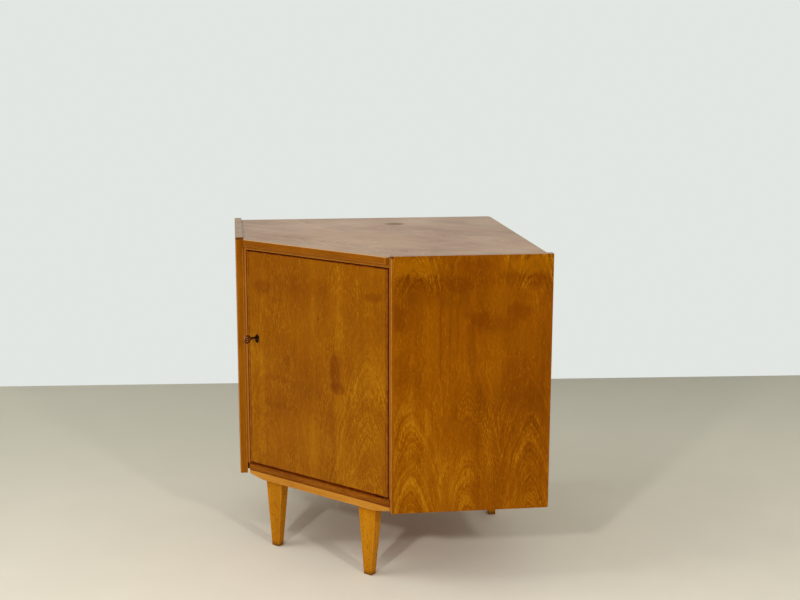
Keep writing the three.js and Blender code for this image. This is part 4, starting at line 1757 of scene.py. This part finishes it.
@dataclass
class Lock:
    """The lock case, its bolt, the escutcheon and the key.

    A lobe of the escutcheon is its place, its height and its width, with places and widths in
    degrees. A point of its bead is a share of the way from the outline to the keyhole, and a
    share of the thickness. A point of the key's collar or tip is a radius, and how far it lies
    behind the bow or before the shank's end.
    """

    key_x: float = -0.188
    key_z: float = 0.536
    plate_core: float = 0.0052
    plate_steps: int = 180
    plate_lobes: tuple[tuple[float, float, float], ...] = (
        (95.0, 0.0018, 24.0), (5.0, 0.0018, 25.0), (175.0, 0.0018, 25.0), (270.0, 0.0094, 38.0),
    )
    plate_bead: tuple[tuple[float, float], ...] = (
        (0.0, 0.0), (0.0, 0.45), (0.06, 0.75), (0.2, 1.0),
        (0.5, 0.9), (0.85, 0.75), (1.0, 0.55), (1.0, 0.0),
    )
    hole_radius: float = 0.0030
    slot_half: float = 0.0016
    slot_reach: float = 0.0090
    bow_half_height: float = 0.0105
    bow_half_depth: float = 0.0120
    bow_steps: int = 48
    rim: float = 0.0020
    rib: float = 0.08
    rib_count: int = 12
    bar_radius: float = 0.0014
    bar_height: float = 0.36
    bar_bend: float = 0.25
    bar_steps: int = 12
    collar: tuple[tuple[float, float], ...] = (
        (0.0, 0.0), (0.0032, 0.0006), (0.0037, 0.0016), (0.0028, 0.0026),
        (0.0026, 0.0040), (0.0037, 0.0048), (0.0037, 0.0060), (0.0026, 0.0068),
    )
    tip: tuple[tuple[float, float], ...] = ((0.0026, 0.0004), (0.0022, 0.0), (0.0, 0.0))
    bit_half: float = 0.00125
    bit_upper: float = 0.0005
    bit_lower: float = 0.0080
    bit_length: float = 0.0025
    bit_ease: float = 0.0003

    def build(self) -> list[bpy.types.Object]:
        """Makes the key and the escutcheon and dresses the works.

        Returns:
            The new pieces.
        """
        dress_nodes(STEEL.material(), "lock_case", "lock_screw_1", "lock_screw_2")
        dress_nodes(BRASS.material(), "lock_bolt")
        return [self.escutcheon(), self.key()]

    def escutcheon(self) -> bpy.types.Object:
        """The blackened plate round the keyhole, domed and with four lobes.

        At angle a about the key's axis its outline lies at core + the sum over the lobes of
        height * exp(-((a - lobe) / width) ** 2). The hole's edge is the further one of the round
        hole and the slot below it. The face rises from both edges in a bead.

        Returns:
            The plate.
        """
        low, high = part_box("escutcheon")
        degrees = np.linspace(0, 360, self.plate_steps, endpoint=False)
        outer = np.full(self.plate_steps, self.plate_core)
        for centre, height, width in self.plate_lobes:
            off = (degrees - centre + 180) % 360 - 180
            outer += height * np.exp(-((off / width) ** 2))
        angle = np.radians(degrees)
        side = self.slot_half / np.maximum(np.abs(np.cos(angle)), LEAST_DIVISOR)
        foot = self.slot_reach / np.maximum(-np.sin(angle), LEAST_DIVISOR)
        slot = np.where(np.sin(angle) < 0, np.minimum(side, foot), 0.0)
        inner = np.maximum(self.hole_radius, slot)
        share, lift = np.array(self.plate_bead).T[..., None]
        reach = outer + (inner - outer) * share
        level = np.broadcast_to(lift * (high.y - low.y), reach.shape)
        rings = np.stack((reach * np.cos(angle), reach * np.sin(angle), level), -1)
        place = (self.key_x, high.y, self.key_z)
        plate = loft(rings, closed=True).turned([(1, 0, 0), (0, 0, 1), (0, -1, 0)], place)
        piece = add_piece("escutcheon", Body.DOOR, plate)
        dress(piece, IRON.material())
        return piece

    def bow(self, middle: np.ndarray) -> Surface:
        """The key's bow: an oval ring with a ribbed rim and two curved bars across it.

        The ring is an ellipse. At share s of a bar's half length its height is
        h * (1 - bend * (1 - s squared)), where h is its height at the ring.

        Args:
            middle: the middle of the ring.

        Returns:
            The surface.
        """
        across = (1.0, 0.0, 0.0)
        depth = self.bow_half_depth - self.rim
        height = self.bow_half_height - self.rim
        angle = np.linspace(0, math.tau, self.bow_steps, endpoint=False)
        oval = np.column_stack((0 * angle, -depth * np.cos(angle), height * np.sin(angle)))
        radius = self.rim * (1 + self.rib * np.cos(self.rib_count * angle))
        whole = tube(middle + oval, radius, across, closed=True)
        share = np.linspace(-1, 1, self.bar_steps + 1)
        reach = depth * math.sqrt(1 - self.bar_height**2)
        bend = self.bar_height * height * (1 - self.bar_bend * (1 - share**2))
        for side in (-1, 1):
            bar = np.column_stack((0 * share, reach * share, side * bend))
            radius = np.full(len(share), self.bar_radius)
            whole = whole.joined(tube(middle + bar, radius, across, closed=False))
        return whole

    def key(self) -> bpy.types.Object:
        """The key: its bow, a collared shank and a bit.

        Returns:
            The key.
        """
        low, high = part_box("key")
        middle = low.y + self.bow_half_depth
        start = middle + self.bow_half_depth - self.rim
        profile = [(radius, start + behind) for radius, behind in self.collar]
        profile += [(radius, high.y - before) for radius, before in self.tip]
        place = (self.key_x, 0.0, self.key_z)
        shank = turning(np.array(profile)).turned([(0, 0, 1), (1, 0, 0), (0, 1, 0)], place)
        half, upper, lower = self.bit_half, -self.bit_upper, -self.bit_lower
        outline = np.array([(-half, lower), (half, lower), (half, upper), (-half, upper)])
        bit = rounded_prism(outline, high.y - self.bit_length, high.y, self.bit_ease, 1)
        bit = bit.turned([(1, 0, 0), (0, 0, 1), (0, 1, 0)], place)
        whole = self.bow(np.array((self.key_x, middle, self.key_z))).joined(shank).joined(bit)
        piece = add_piece("key", Body.KEY, whole)
        dress(piece, BRONZE.material())
        return piece


# The studio


@dataclass(frozen=True)
class Lamp:
    """A square soft lamp: its azimuth is counted from the door's front towards its right."""

    name: str
    azimuth: float
    distance: float
    height: float
    width: float
    power: float


@dataclass
class Studio:
    """Floor, world, lamps and the camera at the photograph's place."""

    eye: Point = (1.9493, -2.56705, 1.2253)
    azimuth: float = 37.40
    elevation: float = 11.02
    roll: float = 0.124
    lens: float = 57.48
    wall: Colour = (226, 230, 226)
    floor: Colour = (255, 246, 226)
    shaded_far_floor: Colour = (204, 200, 184)
    floor_mark: Colour = (188, 180, 162)
    floor_axis: Point = (-0.792, 0.610, 0.0)
    floor_fade: float = 1.4
    floor_drop: float = 0.0002
    floor_reach: float = 20.0
    wall_from: tuple[float, float] = (-1.939, 0.254)
    wall_to: tuple[float, float] = (0.209, 2.125)
    wall_foot: float = -0.01
    wall_height: float = 4.5
    sky: float = 0.48
    aim_height: float = 0.4
    lamps: tuple[Lamp, ...] = (
        Lamp("lamp_front", azimuth=16.0, distance=3.6, height=1.95, width=0.2, power=36.0),
        Lamp("lamp_right", azimuth=66.0, distance=3.6, height=1.95, width=0.22, power=29.0),
        Lamp("lamp_above", azimuth=-40.0, distance=2.6, height=3.0, width=2.0, power=37.0),
    )

    def build(self) -> None:
        """Makes the whole studio."""
        self.lay_floor()
        self.raise_wall()
        self.light_world()
        self.hang_lamps()
        self.place_camera()
        bpy.context.scene.view_settings.view_transform = "Standard"

    @staticmethod
    def sheet(
        name: str, corner: Point, first: Point, second: Point, steps: int = 8
    ) -> bpy.types.Object:
        """A flat sheet: the point at shares (s, t) is corner + s * first + t * second.

        Args:
            name: what it is called.
            corner: one of its corners.
            first: the side that s runs along.
            second: the side that t runs along.
            steps: how many faces each side has.

        Returns:
            The sheet, which is part of the stage.
        """
        share = np.linspace(0, 1, steps + 1)
        s, t = np.meshgrid(share, share)
        points = np.asarray(corner) + np.multiply.outer(s, first) + np.multiply.outer(t, second)
        index = np.arange((steps + 1) ** 2).reshape(steps + 1, steps + 1)
        quads = np.stack((index[:-1, :-1], index[:-1, 1:], index[1:, 1:], index[1:, :-1]), -1)
        mesh = bpy.data.meshes.new(name)
        mesh.from_pydata(points.reshape(-1, 3).tolist(), [], quads.reshape(-1, 4).tolist())
        made = bpy.data.objects.new(name, mesh)
        bpy.context.scene.collection.objects.link(made)
        return made

    @staticmethod
    def clear_behind(w: Wiring, front: bpy.types.Node) -> None:
        """Gives a sheet a shader in front and leaves it clear from behind.

        Args:
            w: the sheet's wiring.
            front: the shader that shows in front.
        """
        behind = w.node("ShaderNodeNewGeometry").outputs["Backfacing"]
        both = w.mix_shaders(behind, front, w.node("ShaderNodeBsdfTransparent"))
        w.node("ShaderNodeOutputMaterial", {"Surface": both.outputs[0]})

    def lay_floor(self) -> None:
        """A pale floor a hair below the feet, clear from below, with painted shade darkening it towards
        the wall.
        """
        reach = self.floor_reach
        corner = (-reach, -reach, -self.floor_drop)
        floor = self.sheet("studio_floor", corner, (2 * reach, 0.0, 0.0), (0.0, 2 * reach, 0.0))
        material, w = empty_material("pale_floor")
        shader = w.node("ShaderNodeBsdfPrincipled")
        place = w.node("ShaderNodeTexCoord").outputs["Object"]
        film = w.group(EFFECTS.film, {"Place": place}).outputs
        # Painted shade: the floor's colour darkens towards the wall.
        away = w.smooth(w.along(place, self.floor_axis), -self.floor_fade, self.floor_fade)
        ground = w.mix(away, tone(self.floor), tone(self.shaded_far_floor))
        ground = w.mix(w.times(film["Cloud"], 0.2), ground, tone(self.floor_mark))
        w.feed(shader.inputs["Base Color"], ground)
        w.feed(shader.inputs["Roughness"], w.add(0.8, w.times(film["Smudge"], 0.05)))
        shader.inputs["Specular IOR Level"].default_value = 0.1
        self.clear_behind(w, shader)
        dress(floor, material)

    def raise_wall(self) -> None:
        """A plain wall behind the cupboard, where the photograph has it, clear from behind."""
        start, end = np.array(self.wall_from), np.array(self.wall_to)
        along = (end - start) / np.linalg.norm(end - start) * self.floor_reach
        corner = (*((start + end) / 2 - along), self.wall_foot)
        wall = self.sheet("studio_wall", corner, (*(2 * along), 0.0), (0.0, 0.0, self.wall_height))
        material, w = empty_material("pale_wall")
        paint = w.node("ShaderNodeBsdfDiffuse", {"Color": tone(self.wall)})
        shown = w.node("ShaderNodeEmission", {"Color": tone(self.wall), "Strength": 1.0})
        self.clear_behind(w, w.mix_shaders(self.seen_plainly(w), paint, shown))
        dress(wall, material)

    @staticmethod
    def seen_plainly(w: Wiring) -> Socket:
        """1 for what the camera, a mirror or a glass shows, and 0 for light on the object.

        Args:
            w: the wiring of a material or the world.

        Returns:
            1 or 0.
        """
        path = w.node("ShaderNodeLightPath").outputs
        seen = w.math("MAXIMUM", path["Is Camera Ray"], path["Is Glossy Ray"])
        return w.math("MAXIMUM", seen, path["Is Transmission Ray"])

    def light_world(self) -> None:
        """A plain bright room: what is seen of it is the wall's colour, and it lights evenly."""
        world = bpy.data.worlds.new("studio")
        world.use_nodes = True
        world.node_tree.nodes.clear()
        w = Wiring(world.node_tree)
        shown = w.node("ShaderNodeBackground", {"Color": tone(self.wall), "Strength": 1.0})
        light = w.node("ShaderNodeBackground", {"Color": (1.0, 1.0, 1.0, 1.0), "Strength": self.sky})
        both = w.mix_shaders(self.seen_plainly(w), light, shown)
        w.node("ShaderNodeOutputWorld", {"Surface": both.outputs[0]})
        bpy.context.scene.world = world

    def hang_lamps(self) -> None:
        """Hangs the lamps, all turned towards the cupboard's middle."""
        for lamp in self.lamps:
            data = bpy.data.lights.new(lamp.name, "AREA")
            data.size = lamp.width
            data.energy = lamp.power
            made = bpy.data.objects.new(lamp.name, data)
            around = math.radians(lamp.azimuth)
            x, y = lamp.distance * math.sin(around), -lamp.distance * math.cos(around)
            place = np.array((x, y, lamp.height))
            back = place - (0.0, 0.0, self.aim_height)
            made.matrix_world = self.facing(back / np.linalg.norm(back), tuple(place))
            bpy.context.scene.collection.objects.link(made)

    @staticmethod
    def facing(back: np.ndarray, place: Point, roll: float = 0.0) -> Matrix:
        """The matrix of a camera or lamp that looks along -back.

        Args:
            back: the unit vector from what it looks at to where it stands.
            place: where it stands.
            roll: how far it is turned about its line of sight, in degrees.

        Returns:
            The matrix.
        """
        right = np.cross((0.0, 0.0, 1.0), back)
        right /= np.linalg.norm(right)
        up = np.cross(back, right)
        turn = math.radians(roll)
        side = math.cos(turn) * right + math.sin(turn) * up
        top = np.cross(back, side)
        matrix = Matrix.Identity(4)
        for column, vector in enumerate((side, top, back, np.asarray(place, float))):
            for row in range(3):
                matrix[row][column] = vector[row]
        return matrix

    def place_camera(self) -> None:
        """The camera that the photograph was taken with, as its edges show."""
        around, above = math.radians(self.azimuth), math.radians(self.elevation)
        back = np.array((
            math.sin(around) * math.cos(above),
            -math.cos(around) * math.cos(above),
            math.sin(above),
        ))
        data = bpy.data.cameras.new("camera")
        data.sensor_width = 36.0
        data.lens = self.lens
        data.clip_start = 0.05
        data.clip_end = 60.0
        camera = bpy.data.objects.new("camera", data)
        camera.matrix_world = self.facing(back, self.eye, self.roll)
        bpy.context.scene.collection.objects.link(camera)
        bpy.context.scene.camera = camera


def main() -> None:
    """Builds the cupboard and the studio."""
    logging.basicConfig(level=logging.INFO, format="%(message)s")
    for part in (Carcass(), DoorFrame(), Door(), Stand(), Inside(), Lock()):
        for piece in part.build():
            LOG.info("%s: %s, %d points", type(part).__name__, piece.name, len(piece.data.vertices))
    Studio().build()


if __name__ == "__main__":
    main()
